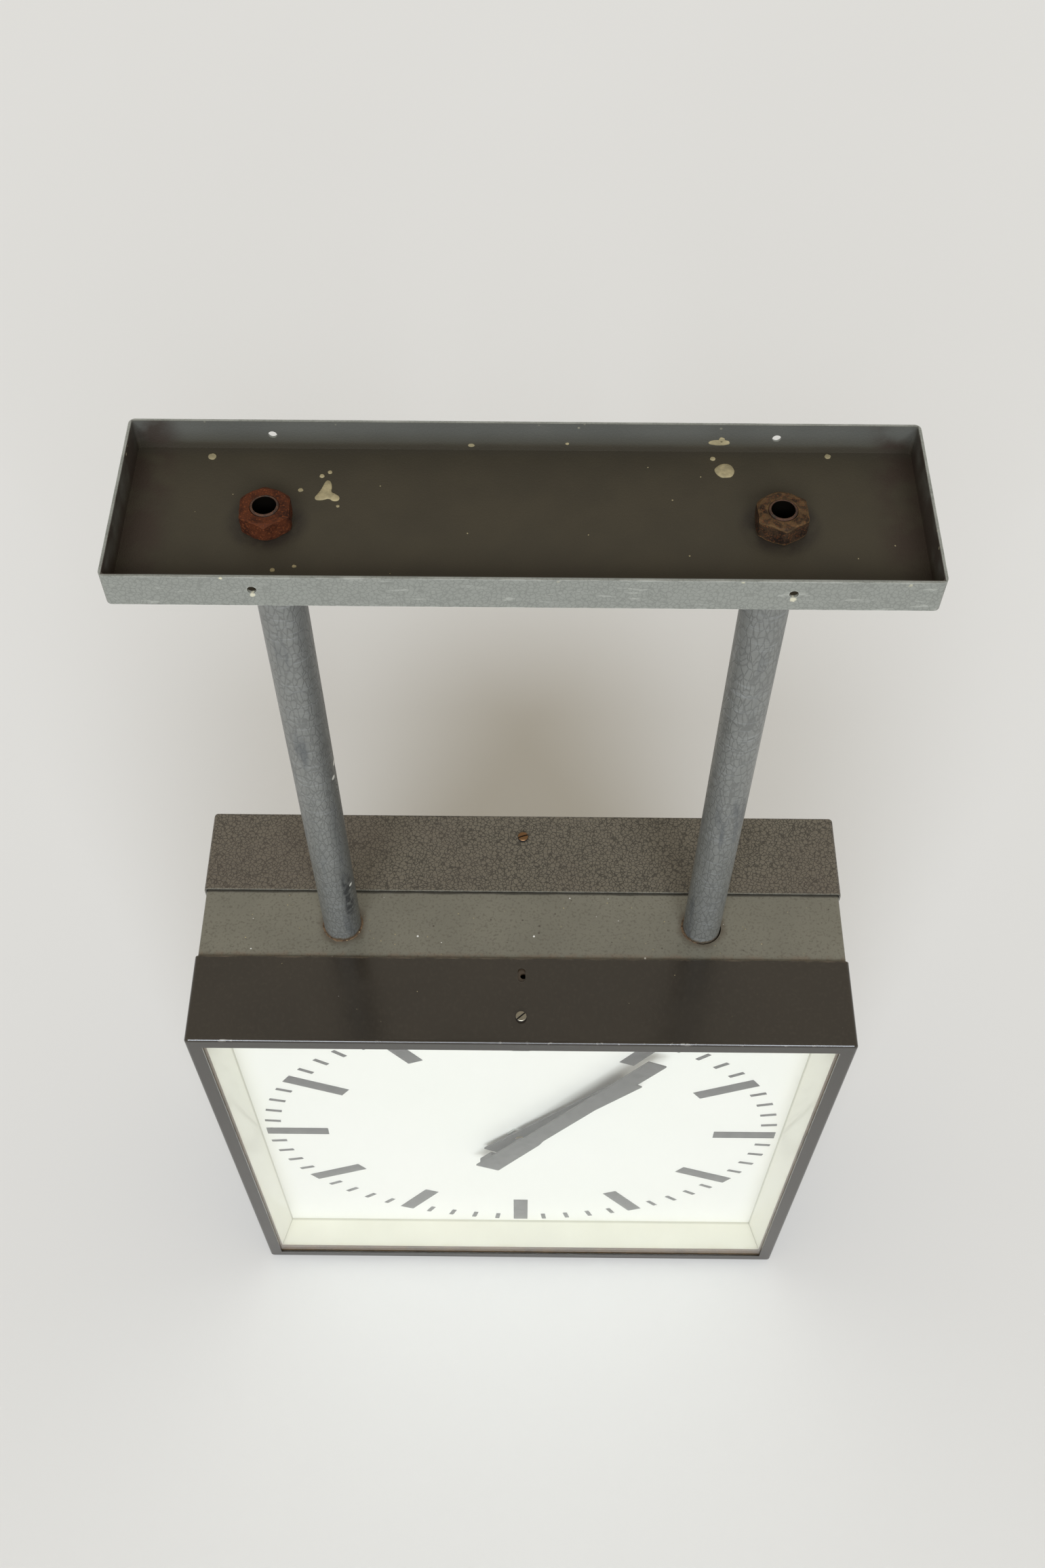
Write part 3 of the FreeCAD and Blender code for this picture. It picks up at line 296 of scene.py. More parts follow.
def build_wear_group():
    """Where a corner has lost its paint: the rounded normal differs from the true one."""
    group = Group("Edge Wear", ("Mask",), Radius=0.0006, Loss=0.5, Scale=90.0)
    softness = 0.08
    soft = group.add("ShaderNodeBevel", {"Radius": group.given["Radius"]}, samples=4).outputs["Normal"]
    true = group.add("ShaderNodeNewGeometry").outputs["Normal"]
    facing = group.add("ShaderNodeVectorMath", {0: soft, 1: true}, operation="DOT_PRODUCT")
    corner = group.step(facing.outputs["Value"], 0.99, 0.86)
    kept = group.minus(1.0, group.given["Loss"])
    low, high = group.minus(kept, softness), group.plus(kept, softness)
    group.give(Mask=group.times(corner, group.step(group.grain(group.given["Scale"], 4.0), low, high)))


def build_band_group():
    """A ragged band along one coordinate: 1 at its centre, 0 beyond its width."""
    group = Group(
        "Ragged Band", ("Mask",), Position=0.0, Centre=0.0, Width=0.002, Ragged=0.001, Scale=200.0
    )
    given = group.given
    edge = group.minus(group.grain(given["Scale"], 4.0), 0.5)
    away = group.absolute(group.minus(given["Position"], given["Centre"]))
    away = group.plus(away, group.times(edge, group.times(given["Ragged"], 4.0)))
    group.give(Mask=group.step(away, given["Width"], group.times(given["Width"], 0.4)))


def build_speck_group():
    """Scattered specks: a share of the cells of a Voronoi pattern holds one."""
    group = Group("Specks", ("Mask",), Scale=100.0, Size=0.1, Share=0.2)
    cells = group.add("ShaderNodeTexVoronoi", {"Vector": group.where, "Scale": group.given["Scale"]})
    parts = group.add("ShaderNodeSeparateColor", {"Color": cells.outputs["Color"]}).outputs
    reach = group.times(group.given["Size"], group.plus(0.4, parts["Green"]))
    spot = group.step(cells.outputs["Distance"], reach, group.times(reach, 0.5))
    group.give(Mask=group.times(spot, group.calc("LESS_THAN", parts["Red"], group.given["Share"])))


def build_rust_group():
    """Rust: a patchy colour from dark brown to orange, its cover and its pitting."""
    group = Group("Rust", ("Color", "Mask", "Height"), Scale=120.0, Cover=0.5, Tint=None)
    given = group.given
    softness = 0.1
    patches = group.grain(given["Scale"], 6.0, distortion=0.3)
    pits = group.grain(group.times(given["Scale"], 7.0), 4.0)
    dark = group.mix(1.0, given["Tint"], (0.32, 0.3, 0.3), "MULTIPLY")
    orange = group.mix(0.3, given["Tint"], tint(196, 112, 58))
    colour = group.mix(group.step(patches, 0.35, 0.6), dark, given["Tint"])
    colour = group.lay(colour, orange, group.step(pits, 0.5, 0.75), 0.55)
    bare = group.minus(1.0, given["Cover"])
    low, high = group.minus(bare, softness), group.plus(bare, softness)
    group.give(
        Color=colour, Height=pits, Mask=group.step(group.plus(group.times(patches, 0.8), 0.1), low, high)
    )


def build_scratch_group():
    """Drawing or brushing marks that run along one direction."""
    group = Group("Drawn Metal", ("Tone", "Height"), Amount=0.3)
    coarse = group.grain(1.0, 5.0)
    tone = group.plus(0.5, group.times(group.minus(coarse, 0.5), group.given["Amount"]))
    group.give(Tone=tone, Height=coarse)


# ---- finishes ----


class Finish(Nodes):
    """A material with its Principled shader, its object coordinates and their parts."""

    def __init__(self, name, **plain):
        self.material = bpy.data.materials.new(name)
        self.material.use_nodes = True
        super().__init__(self.material.node_tree)
        self.shader = self.tree.nodes["Principled BSDF"]
        self.where = self.add("ShaderNodeTexCoord").outputs["Object"]
        parts = self.add("ShaderNodeSeparateXYZ", {"Vector": self.where}).outputs
        self.x, self.y, self.z = parts["X"], parts["Y"], parts["Z"]
        self.across = self.absolute(self.x)
        self.drive(**plain)

    def drive(self, **values):
        """Set the shader's inputs, named with underscores for spaces."""
        for key, value in values.items():
            self.put(self.shader.inputs[key.replace("_", " ")], value)

    def roughen(self, scale, low, high):
        """Let the roughness drift between two values."""
        self.drive(Roughness=self.step(self.grain(scale), 0.3, 0.7, low, high))

    def bump(self, height, distance, strength=1.0):
        values = {"Height": height, "Distance": distance, "Strength": strength}
        self.drive(Normal=self.add("ShaderNodeBump", values).outputs["Normal"])

    def near(self, value, centre, width, ragged=0.0, scale=200.0):
        values = {"Position": value, "Centre": centre, "Width": width, "Ragged": ragged, "Scale": scale}
        return self.use("Ragged Band", **values)["Mask"]

    def below(self, value, limit):
        return self.calc("LESS_THAN", value, limit)

    def away_from(self, x, y, z=None):
        """Distance from a point and its twin across the middle. Without z, from an upright line."""
        spot = {"X": self.across, "Y": self.y, "Z": 0.0 if z is None else self.z}
        values = {0: self.first("ShaderNodeCombineXYZ", spot), 1: (x, y, z or 0.0)}
        return self.add("ShaderNodeVectorMath", values, operation="DISTANCE").outputs["Value"]

    def worn(self, radius, loss, scale):
        return self.use("Edge Wear", Radius=radius, Loss=loss, Scale=scale)["Mask"]

    def specks(self, scale, size, share):
        return self.use("Specks", Scale=scale, Size=size, Share=share)["Mask"]

    def drawn(self, x, y, z, amount):
        return self.use("Drawn Metal", Vector=self.stretched(x, y, z), Amount=amount)

    def mottled(self, colour, scale, amount, dark=0.72, light=1.2):
        """A paint whose tone drifts over the surface."""
        drift = self.patches(scale, detail=4.0)
        return self.mix(amount, tuple(colour), self.mix(drift, shade(colour, dark), shade(colour, light)))

    def hammered(self, colour, dark, light, low, high, **hammer):
        """A hammer paint: its colour, and the outputs of its group."""
        outputs = self.use("Hammer Paint", **hammer)
        tone = self.step(outputs["Tone"], low, high)
        return self.mix(tone, shade(colour, dark), shade(colour, light)), outputs


def canopy_inside(finish):
    """Dark primer in the canopy: paler walls that darken towards the floor, stained ends, darker creases,
    and painted shade round the nuts.
    """
    wall = finish.mottled(tint(84, 84, 78), 30.0, 0.5, 0.85, 1.1)
    wall = finish.lay(wall, tint(60, 56, 43), finish.step(finish.z, -3 * MM, TRAY_FLOOR + 3 * MM), 0.7)
    above = finish.step(finish.z, TRAY_FLOOR + 1.2 * MM, TRAY_FLOOR + 6 * MM)
    colour = finish.mix(above, finish.mottled(colours().canopy_inside, 40.0, 0.6, 0.84, 1.1), wall)
    ends = finish.step(finish.across, TRAY_HIGH.x - 26 * MM, TRAY_HIGH.x - 12 * MM)
    colour = finish.lay(colour, tint(46, 33, 24), ends, finish.patches(55.0, 0.3, 0.62, 4.0), 0.8)
    # darker along the creases where the floor meets the front and rear walls
    crease = finish.near(finish.z, TRAY_FLOOR, 4 * MM, 1.5 * MM, 90.0)
    walls = finish.step(finish.absolute(finish.y), TRAY_HIGH.y - 8 * MM, TRAY_HIGH.y - 2 * MM)
    colour = finish.lay(colour, tint(52, 47, 36), crease, walls, 0.6)
    # painted shade, with some rust stain, in a soft ring round each nut on the floor
    nut_shade_ring = finish.step(finish.away_from(TUBE_X, 0.0), 21 * MM, 13.5 * MM)
    return finish.lay(colour, tint(36, 29, 20), nut_shade_ring, finish.patches(80.0, 0.25, 0.6))


def canopy_paint():
    """Grey hammer paint outside, dirty dark primer inside, chips at rims and holes."""
    finish = Finish("canopy_paint", Roughness=0.45)
    paint = finish.hammered(colours().canopy, 0.84, 1.08, 0.15, 0.85, Swelling=2.2, Variation=0.5)
    outside, hammer = paint
    rubbed = finish.grain(1.0, 5.0, finish.stretched(70.0, 400.0, 420.0), 0.4)
    outside = finish.lay(outside, tint(180, 181, 172), finish.step(rubbed, 0.62, 0.74), 0.3)
    room_x = finish.below(finish.across, TRAY_HIGH.x - 1.2 * MM)
    room_y = finish.below(finish.absolute(finish.y), TRAY_HIGH.y - 1.2 * MM)
    room_z = finish.calc("GREATER_THAN", finish.z, TRAY_FLOOR - 0.3 * MM)
    inside = finish.times(room_x, room_y, room_z)
    out = finish.minus(1.0, inside)
    colour = finish.mix(inside, outside, canopy_inside(finish))

    hole = finish.plus(finish.away_from(*TRAY_HOLE), finish.times(finish.grain(420.0, 2.0), 3 * MM))
    colour = finish.mix(finish.step(hole, 3.2 * MM, 2.4 * MM), colour, tint(186, 182, 160))
    rim = finish.step(finish.z, -1.1 * MM, -0.2 * MM)
    rubbed_rim = finish.step(finish.grain(70.0, 4.0), 0.4, 0.7, 0.1, 0.6)
    colour = finish.lay(colour, tint(152, 153, 146), rim, out, rubbed_rim)
    colour = finish.lay(colour, tint(186, 187, 178), finish.worn(0.7 * MM, 0.5, 120.0), out, 0.6)
    colour = finish.mix(finish.specks(62.0, 0.07, 0.06), colour, tint(176, 168, 140))
    along_rim = finish.near(finish.z, -1.6 * MM, 1.6 * MM, 0.6 * MM, 300.0)
    chalk = finish.times(finish.specks(330.0, 0.3, 0.3), along_rim, finish.patches(24.0, 0.48, 0.6))
    colour = finish.lay(colour, tint(206, 200, 168), chalk, 0.8)
    finish.drive(Base_Color=colour, Roughness=finish.step(inside, 0.0, 1.0, 0.42, 0.62))
    finish.bump(hammer["Height"], 0.08 * MM, 0.4)
    return finish.material


def tube_paint():
    """Silver hammer paint over drawn tube, with long dark rubs."""
    finish = Finish("tube_paint", Metallic=0.25)
    colour, hammer = finish.hammered(
        colours().tube, 0.8, 1.08, 0.1, 0.9,
        Vector=finish.stretched(1.0, 1.0, 0.4), Swelling=2.8, Variation=0.6,
    )
    rings = finish.drawn(60.0, 60.0, 900.0, 1.0)["Tone"]
    colour = finish.lay(colour, tint(168, 172, 174), finish.step(rings, 0.5, 0.85), 0.35)
    rubs = finish.grain(1.0, 4.0, finish.stretched(95.0, 95.0, 14.0), 0.2)
    colour = finish.lay(colour, tint(70, 74, 77), finish.step(rubs, 0.55, 0.7), 0.55)
    # painted dark reflection: the sides that face each other are greyer and darker, the left one more so
    inner_side_shade = finish.step(finish.across, TUBE_X - 2 * MM, TUBE_X - 9 * MM)
    share = finish.step(finish.x, -TUBE_X / 2, TUBE_X / 2, 0.42, 0.14)
    colour = finish.lay(colour, tint(62, 64, 64), inner_side_shade, share)
    # one long dark rub low on the left tube, on its inner side
    from_top = finish.step(finish.z, -305 * MM, -325 * MM)
    to_foot = finish.step(finish.z, -370 * MM, -350 * MM)
    beside = finish.absolute(finish.minus(finish.x, 8.5 * MM - TUBE_X))
    inner = finish.step(beside, 3.4 * MM, 1.2 * MM)
    ragged = finish.patches(210.0, 0.36, 0.55)
    colour = finish.lay(colour, tint(44, 46, 48), from_top, to_foot, inner, ragged, 0.85)
    foot = finish.near(finish.z, BODY_ROOF, 2.8 * MM, 1.2 * MM, 260.0)
    colour = finish.lay(colour, tint(84, 70, 50), foot, 0.8)
    colour = finish.mix(finish.specks(75.0, 0.14, 0.1), colour, tint(214, 214, 206))
    finish.drive(Base_Color=colour, Roughness=finish.step(rubs, 0.3, 0.7, 0.34, 0.5))
    finish.bump(finish.plus(hammer["Height"], finish.times(rings, 0.3)), 0.18 * MM, 0.7)
    return finish.material


def body_paint():
    """Plain grey paint on the body, dusty, with rust along the front bezel's edge."""
    finish = Finish("body_paint", Specular_IOR_Level=0.7)
    colour = finish.mottled(colours().body, 26.0, 0.45, 0.86, 1.12)
    colour = finish.lay(colour, tint(86, 81, 70), finish.patches(620.0, 0.5, 0.7, 2.0), 0.62)
    rust = finish.use("Rust", Scale=130.0, Cover=0.55, Tint=tint(104, 78, 58))
    along = finish.near(finish.y, BEZEL_HIGH.y, 5.5 * MM, 1.2 * MM, 160.0)
    colour = finish.lay(colour, rust["Color"], along, rust["Mask"], 0.28)
    # painted shadow on the roof along the rear bezel's front edge
    shadow_under_rear_bezel = finish.near(finish.y, -BEZEL_HIGH.y, 2.2 * MM, 0.5 * MM, 60.0)
    colour = finish.lay(colour, tint(36, 33, 27), shadow_under_rear_bezel, 0.85)
    foot = finish.plus(finish.away_from(TUBE_X, 0.0), finish.times(finish.grain(150.0), 6 * MM))
    colour = finish.lay(colour, tint(74, 62, 48), finish.step(foot, 21 * MM, 15.5 * MM), 0.6)
    # painted shade on the roof under the front bezel's empty slot, seen through it
    shade_under_spare_slot = finish.step(finish.away_from(0.0, SPARE_SLOT_Y, BODY_ROOF), 9 * MM, 6 * MM)
    colour = finish.mix(shade_under_spare_slot, colour, tint(62, 50, 38))
    colour = finish.mix(finish.specks(130.0, 0.085, 0.36), colour, tint(222, 221, 214))
    colour = finish.lay(colour, tint(62, 54, 46), finish.specks(190.0, 0.14, 0.2), 0.75)
    colour = finish.lay(colour, tint(150, 150, 142), finish.worn(0.6 * MM, 0.45, 90.0), 0.55)
    finish.drive(Base_Color=colour)
    finish.roughen(45.0, 0.22, 0.36)
    finish.bump(finish.grain(900.0, 2.0), 0.04 * MM, 0.5)
    return finish.material


def bezel_front_paint():
    """Dark satin paint, rubbed light along its front edge."""
    finish = Finish("bezel_front_paint", Specular_IOR_Level=0.85)
    colour = finish.mottled(colours().bezel_front, 20.0, 0.5, 0.85, 1.18)
    orange = finish.grain(480.0, 2.0)
    colour = finish.lay(colour, tint(54, 48, 39), finish.step(orange, 0.52, 0.66), 0.3)
    colour = finish.lay(colour, tint(112, 107, 96), finish.worn(0.8 * MM, 0.45, 170.0), 0.26)
    top_edge = finish.near(finish.z, BEZEL_ROOF, 1.6 * MM, 0.5 * MM, 300.0)
    front_edge = finish.near(finish.y, BEZEL_LOW.y, 1.6 * MM, 0.5 * MM, 300.0)
    chips = finish.times(top_edge, front_edge, finish.patches(160.0, 0.6, 0.66, 5.0))
    colour = finish.lay(colour, tint(168, 164, 154), chips, 0.7)
    # painted shade: the bezel's front face is made darker than the rest
    face = finish.step(finish.y, BEZEL_LOW.y + 1.6 * MM, BEZEL_LOW.y + 0.6 * MM)
    colour = finish.lay(colour, tint(27, 23, 18), face, 0.6)
    back_edge = finish.near(finish.y, BEZEL_HIGH.y, 1.1 * MM, 0.3 * MM, 300.0)
    rubbed = finish.step(finish.grain(60.0, 4.0), 0.4, 0.7, 0.0, 0.6)
    colour = finish.lay(colour, tint(92, 80, 64), back_edge, rubbed)
    colour = finish.mix(finish.specks(95.0, 0.085, 0.09), colour, tint(196, 194, 186))
    screw = finish.away_from(0.0, SCREW_Y, BEZEL_ROOF)
    screw = finish.plus(screw, finish.times(finish.grain(500.0), 1.5 * MM))
    colour = finish.lay(colour, tint(40, 32, 25), finish.step(screw, 5.6 * MM, 4.6 * MM), 0.7)
    smears = finish.grain(1.0, 3.0, finish.stretched(12.0, 40.0, 12.0))
    finish.drive(Base_Color=colour, Roughness=finish.step(smears, 0.3, 0.7, 0.17, 0.26))
    finish.bump(orange, 0.02 * MM, 0.35)
    return finish.material


def bezel_rear_paint():
    """Hammer paint with a strong dimple, paler along the outermost line of the sheet's cut edge, with
    painted shadow on the rest of that edge.
    """
    finish = Finish("bezel_rear_paint")
    colour, hammer = finish.hammered(
        colours().bezel_rear, 0.46, 1.24, 0.12, 0.8, Swelling=2.5, Variation=0.4
    )
    colour = finish.lay(colour, tint(88, 76, 68), finish.patches(9.0, 0.4, 0.65, 2.0), 0.25)
    edge = finish.near(finish.y, -BEZEL_HIGH.y, 0.45 * MM, 0.1 * MM, 200.0)
    colour = finish.lay(colour, tint(128, 126, 114), edge, 0.5)
    # painted shadow on the cut edge's face, all but where it meets the top and the sides
    on_top = finish.step(finish.z, BEZEL_ROOF - 0.9 * MM, BEZEL_ROOF - 0.5 * MM)
    on_side = finish.step(finish.across, BEZEL_HIGH.x - 0.9 * MM, BEZEL_HIGH.x - 0.5 * MM)
    under = finish.minus(1.0, finish.calc("MAXIMUM", on_top, on_side))
    cut_edge_shadow = finish.near(finish.y, -BEZEL_HIGH.y, 0.2 * MM)
    colour = finish.lay(colour, tint(34, 31, 25), cut_edge_shadow, under)
    colour = finish.lay(colour, tint(134, 132, 122), finish.worn(1.4 * MM, 0.5, 150.0), 0.4)
    finish.drive(Base_Color=colour, Roughness=finish.step(hammer["Tone"], 0.0, 1.0, 0.5, 0.34))
    finish.bump(hammer["Height"], 0.2 * MM, 0.7)
    return finish.material


def dial_enamel():
    finish = Finish("dial_enamel")
    colour = finish.lay(tuple(colours().dial), tint(228, 226, 215), finish.patches(6.0, detail=2.0), 0.25)
    up = finish.absolute(finish.minus(finish.z, DIAL_CENTRE))
    rim = finish.step(finish.calc("MAXIMUM", finish.across, up), 176 * MM, 194 * MM)
    finish.drive(Base_Color=finish.lay(colour, tint(220, 216, 196), rim, 0.35))
    finish.roughen(60.0, 0.3, 0.42)
    finish.bump(finish.grain(500.0, 2.0), 0.02 * MM, 0.3)
    return finish.material


def printed_paint(name, colour, scale):
    """Dark grey paint with a little dust and fade."""
    finish = Finish(name)
    dust = finish.patches(900.0, 0.6, 0.78, 2.0)
    faded = finish.mottled(colour, scale, 0.5, 0.85, 1.2)
    finish.drive(Base_Color=finish.lay(faded, tint(130, 128, 122), dust, 0.2))
    finish.roughen(150.0, 0.42, 0.6)
    finish.bump(finish.grain(700.0, 2.0), 0.02 * MM, 0.4)
    return finish.material


def reveal_paint():
    """Ivory gloss with a dirty line in each mitre, a painted shadow line at the dial and painted light on
    the upright sides.
    """
    finish = Finish("reveal_paint")
    colour = finish.mottled(colours().reveal, 16.0, 0.5, 0.92, 1.05)
    up = finish.absolute(finish.minus(finish.z, DIAL_CENTRE))
    beyond_mitre = finish.minus(finish.across, up)
    # painted light: the upright sides of the frame are made paler
    upright = finish.step(beyond_mitre, -1 * MM, 1 * MM)
    colour = finish.lay(colour, tint(238, 236, 222), upright, 0.8)
    mitre = finish.near(beyond_mitre, 0.0, 0.7 * MM, 0.2 * MM, 400.0)
    colour = finish.lay(colour, tint(150, 144, 112), mitre, 0.6)
    out = finish.absolute(finish.y)
    # painted shadow in a line where the frame meets the dial
    root = finish.step(out, DIAL_FACE + 2.2 * MM, DIAL_FACE + 0.8 * MM)
    colour = finish.lay(colour, tint(140, 136, 108), root, 0.55)
    outer = finish.step(out, DIAL_FACE + 17 * MM, DIAL_FACE + 20.2 * MM)
    colour = finish.lay(colour, tint(192, 184, 146), outer, finish.patches(40.0, 0.3, 0.9), 0.5)
    finish.drive(Base_Color=colour)
    finish.roughen(35.0, 0.12, 0.24)
    finish.bump(finish.grain(60.0, 2.0), 0.08 * MM, 0.3)
    return finish.material


def clear_glass():
    """Float glass. Light passes it freely on the way to the dial."""
    finish = Finish("clear_glass", IOR=1.47, Transmission_Weight=1.0)
    clear = finish.mix(finish.patches(5.0), (0.97, 0.985, 0.975), (0.985, 0.99, 0.985))
    smears = finish.step(finish.grain(14.0, 4.0), 0.5, 0.75, 0.0, 0.03)
    finish.drive(Base_Color=clear, Roughness=smears)
    path = finish.add("ShaderNodeLightPath").outputs
    passes = finish.calc("MAXIMUM", path["Is Shadow Ray"], path["Is Diffuse Ray"])
    through = finish.first("ShaderNodeBsdfTransparent", {"Color": (0.96, 0.97, 0.965)})
    joined_light = finish.first("ShaderNodeMixShader", {0: passes, 1: finish.shader.outputs[0], 2: through})
    finish.put(finish.tree.nodes["Material Output"].inputs["Surface"], joined_light)
    return finish.material


def rusty_nut():
    """Red rust on the left nut, brown on the right, with bare metal at the corners."""
    finish = Finish("rusty_nut", Specular_IOR_Level=0.2)
    right = finish.calc("GREATER_THAN", finish.x, 0.0)
    red = finish.use("Rust", Scale=150.0, Cover=0.9, Tint=tuple(colours().rust))
    brown = finish.use("Rust", Scale=170.0, Cover=0.9, Tint=tint(54, 40, 26))
    colour = finish.mix(right, red["Color"], brown["Color"])
    bare = finish.mix(right, tint(98, 52, 26), tint(118, 92, 56))
    colour = finish.lay(colour, bare, finish.worn(1.2 * MM, 0.6, 240.0), 0.55)
    top = finish.step(finish.z, NUT_HIGH.z - 1.4 * MM, NUT_HIGH.z - 0.4 * MM)
    colour = finish.lay(colour, tint(112, 84, 52), top, right, finish.patches(300.0, 0.42, 0.6), 0.35)
    finish.drive(Base_Color=colour, Roughness=finish.step(red["Height"], 0.3, 0.7, 0.65, 0.9))
    finish.bump(red["Height"], 0.25 * MM, 0.8)
    return finish.material


def plated_metal(name, colour, rust_cover, roughness, top=None):
    """Zinc or nickel plate with rust breaking through, and painted shade below a screw head's top, in its
    slot and round its sides.
    """
    finish = Finish(name)
    rust = finish.use("Rust", Scale=300.0, Cover=rust_cover, Tint=tint(128, 72, 44))
    drawn = finish.drawn(900.0, 900.0, 120.0, 0.8)
    dull = rust["Mask"]
    colour = finish.mix(dull, finish.mix(drawn["Tone"], shade(colour, 0.8), colour), rust["Color"])
    if top:
        # painted shade: near black, dull and rough below the head's top, in the slot and round the sides
        low = finish.step(finish.z, top - 0.4 * MM, top - 0.8 * MM)
        colour = finish.mix(low, colour, tint(24, 18, 12))
        dull = finish.calc("MAXIMUM", dull, low)
    finish.drive(
        Base_Color=colour, Metallic=finish.minus(1.0, dull),
        Roughness=finish.step(dull, 0.0, 1.0, roughness, 0.82),
    )
    finish.bump(finish.plus(rust["Height"], drawn["Height"]), 0.03 * MM, 0.6)
    return finish.material


def nipple_metal():
    """Dull plate, with painted shade down the bore: black and without reflection."""
    finish = Finish("nipple_steel")
    rust = finish.use("Rust", Scale=300.0, Cover=0.65, Tint=tint(70, 46, 30))
    colour = finish.mix(rust["Mask"], tint(84, 79, 68), rust["Color"])
    wall = sizes().nipple_bore
    # painted shade down the bore: near black, with no specular reflection
    bore = finish.step(finish.away_from(TUBE_X, 0.0), wall + 0.25 * MM, wall + 0.05 * MM)
    bare = finish.minus(1.0, finish.calc("MAXIMUM", rust["Mask"], bore))
    finish.drive(
        Base_Color=finish.mix(bore, colour, tint(10, 8, 6)), Metallic=bare,
        Specular_IOR_Level=finish.step(bore, 0.0, 1.0, 0.5, 0.0),
        Roughness=finish.step(bare, 0.0, 1.0, 0.85, 0.45),
    )
    finish.bump(rust["Height"], 0.05 * MM, 0.6)
    return finish.material


def turned_metal(name, colour, roughness):
    """Brass, steel or copper with fine machining marks."""
    finish = Finish(name, Metallic=1.0)
    drawn = finish.drawn(700.0, 110.0, 700.0, 1.0)
    drift = finish.patches(70.0, 0.35, 0.7)
    base = finish.mix(drawn["Tone"], shade(colour, 0.78), colour)
    finish.drive(
        Base_Color=finish.lay(base, shade(colour, 0.6), drift, 0.3),
        Roughness=finish.step(drift, 0.0, 1.0, roughness, roughness + 0.14),
    )
    finish.bump(drawn["Height"], 0.02 * MM, 0.4)
    return finish.material


def matt_stuff(name, colour, patches, amount, dark, light, rough_scale, rough_low, rough_high, *bump):
    """Rubber, moulded or powdery stuff: a mottled colour, a rough skin and a fine grain."""
    finish = Finish(name)
    finish.drive(Base_Color=finish.mottled(colour, patches, amount, dark, light))
    finish.roughen(rough_scale, rough_low, rough_high)
    grain_scale, detail, height, strength = bump
    finish.bump(finish.grain(grain_scale, detail), height * MM, strength)
    return finish.material


def moulding(name, colour, roughness):
    """Moulded plastic or sintered stock with a fine grain."""
    low, high = roughness - 0.08, roughness + 0.1
    return matt_stuff(name, colour, 120.0, 0.6, 0.8, 1.25, 300.0, low, high, 1400.0, 2.0, 0.03, 0.5)


def foot_dirt():
    finish = Finish("foot_dirt")
    rust = finish.use("Rust", Scale=420.0, Cover=0.9, Tint=tint(104, 84, 60))
    glints = finish.specks(520.0, 0.3, 0.2)
    finish.drive(
        Base_Color=finish.mix(glints, rust["Color"], tint(160, 140, 104)),
        Roughness=finish.step(rust["Height"], 0.3, 0.7, 0.7, 0.95),
    )
    finish.bump(rust["Height"], 0.2 * MM, 0.8)
    return finish.material


FINISHES = {}


def make_finishes():
    """Build the shared groups, then every finish by name."""
    build_hammer_group()
    build_wear_group()
    build_band_group()
    build_speck_group()
    build_rust_group()
    build_scratch_group()
    rubber, paste = tint(92, 70, 44), colours().splash
    FINISHES.update(
        canopy=canopy_paint(),
        tube=tube_paint(),
        body=body_paint(),
        bezel_front=bezel_front_paint(),
        bezel_rear=bezel_rear_paint(),
        dial=dial_enamel(),
        mark=printed_paint("mark_paint", colours().mark, 30.0),
        hand=printed_paint("hand_paint", colours().hand, 45.0),
        reveal=reveal_paint(),
        seal=matt_stuff(
            "seal_rubber", rubber, 60.0, 0.8, 0.6, 1.3, 200.0, 0.65, 0.85, 500.0, 3.0, 0.12, 0.6
        ),
        glass=clear_glass(),
        nut=rusty_nut(),
        nipple=nipple_metal(),
        plated=plated_metal("zinc_plate", tint(186, 188, 184), 0.2, 0.35),
        screw_front=plated_metal("worn_screw", tint(176, 170, 154), 0.3, 0.38, SCREW_TOP),
        screw_rear=plated_metal("rusty_screw", tint(146, 112, 80), 0.36, 0.42, SCREW_TOP),
        brass=turned_metal("movement_brass", tint(208, 178, 108), 0.28),
        steel=turned_metal("arbor_steel", tint(196, 197, 196), 0.22),
        iron=turned_metal("core_iron", tint(128, 128, 130), 0.45),
        copper=turned_metal("winding_copper", tint(176, 104, 66), 0.3),
        magnet=moulding("magnet", tint(62, 62, 64), 0.55),
        bobbin=moulding("bobbin_moulding", tint(58, 46, 38), 0.5),
        terminal=moulding("terminal_moulding", tint(62, 42, 32), 0.4),
        plaster=matt_stuff(
            "plaster", paste, 260.0, 0.9, 0.72, 1.12, 500.0, 0.75, 0.95, 700.0, 4.0, 0.2, 0.8
        ),
        dirt=foot_dirt(),
    )


NODE_FINISHES = {
    "canopy": ["canopy_tray"],
    "tube": ["suspension_tube_left", "suspension_tube_right"],
    "body": ["body_shell", "body_top", "dial_ledges"],
    "bezel_front": ["bezel_front"],
    "bezel_rear": ["bezel_rear"],
    "nut": ["canopy_nuts"],
    "nipple": ["canopy_nipples", "body_nipples"],
    "plated": ["hanger_nuts", "hanger_channel", "dial_nuts", "dial_screws"],
    "screw_front": ["bezel_screw_front"],
    "screw_rear": ["bezel_screw_rear"],
    "terminal": ["terminal_block"],
}
SIDE_FINISHES = {
    "dial": ["dial_plate"],
    "mark": ["dial_marks"],
    "hand": ["minute_hand", "hour_hand", "hand_counterweight", "hand_collet"],
    "reveal": ["reveal_frame"],
    "seal": ["glass_seal"],
    "glass": ["glass"],
    "brass": [
        "movement_front_plate", "movement_back_plate", "movement_pillars",
        "minute_wheel", "motion_wheel", "hour_wheel",
    ],
    "steel": ["minute_arbor", "rotor_arbor"],
    "iron": ["stator_poles"],
    "copper": ["coil_winding"],
    "magnet": ["rotor_magnet"],
    "bobbin": ["coil_bobbin"],
}


def dress(node, finish):
    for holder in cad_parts[node].material_slots:
        holder.material = FINISHES[finish]


# ---- making pieces ----


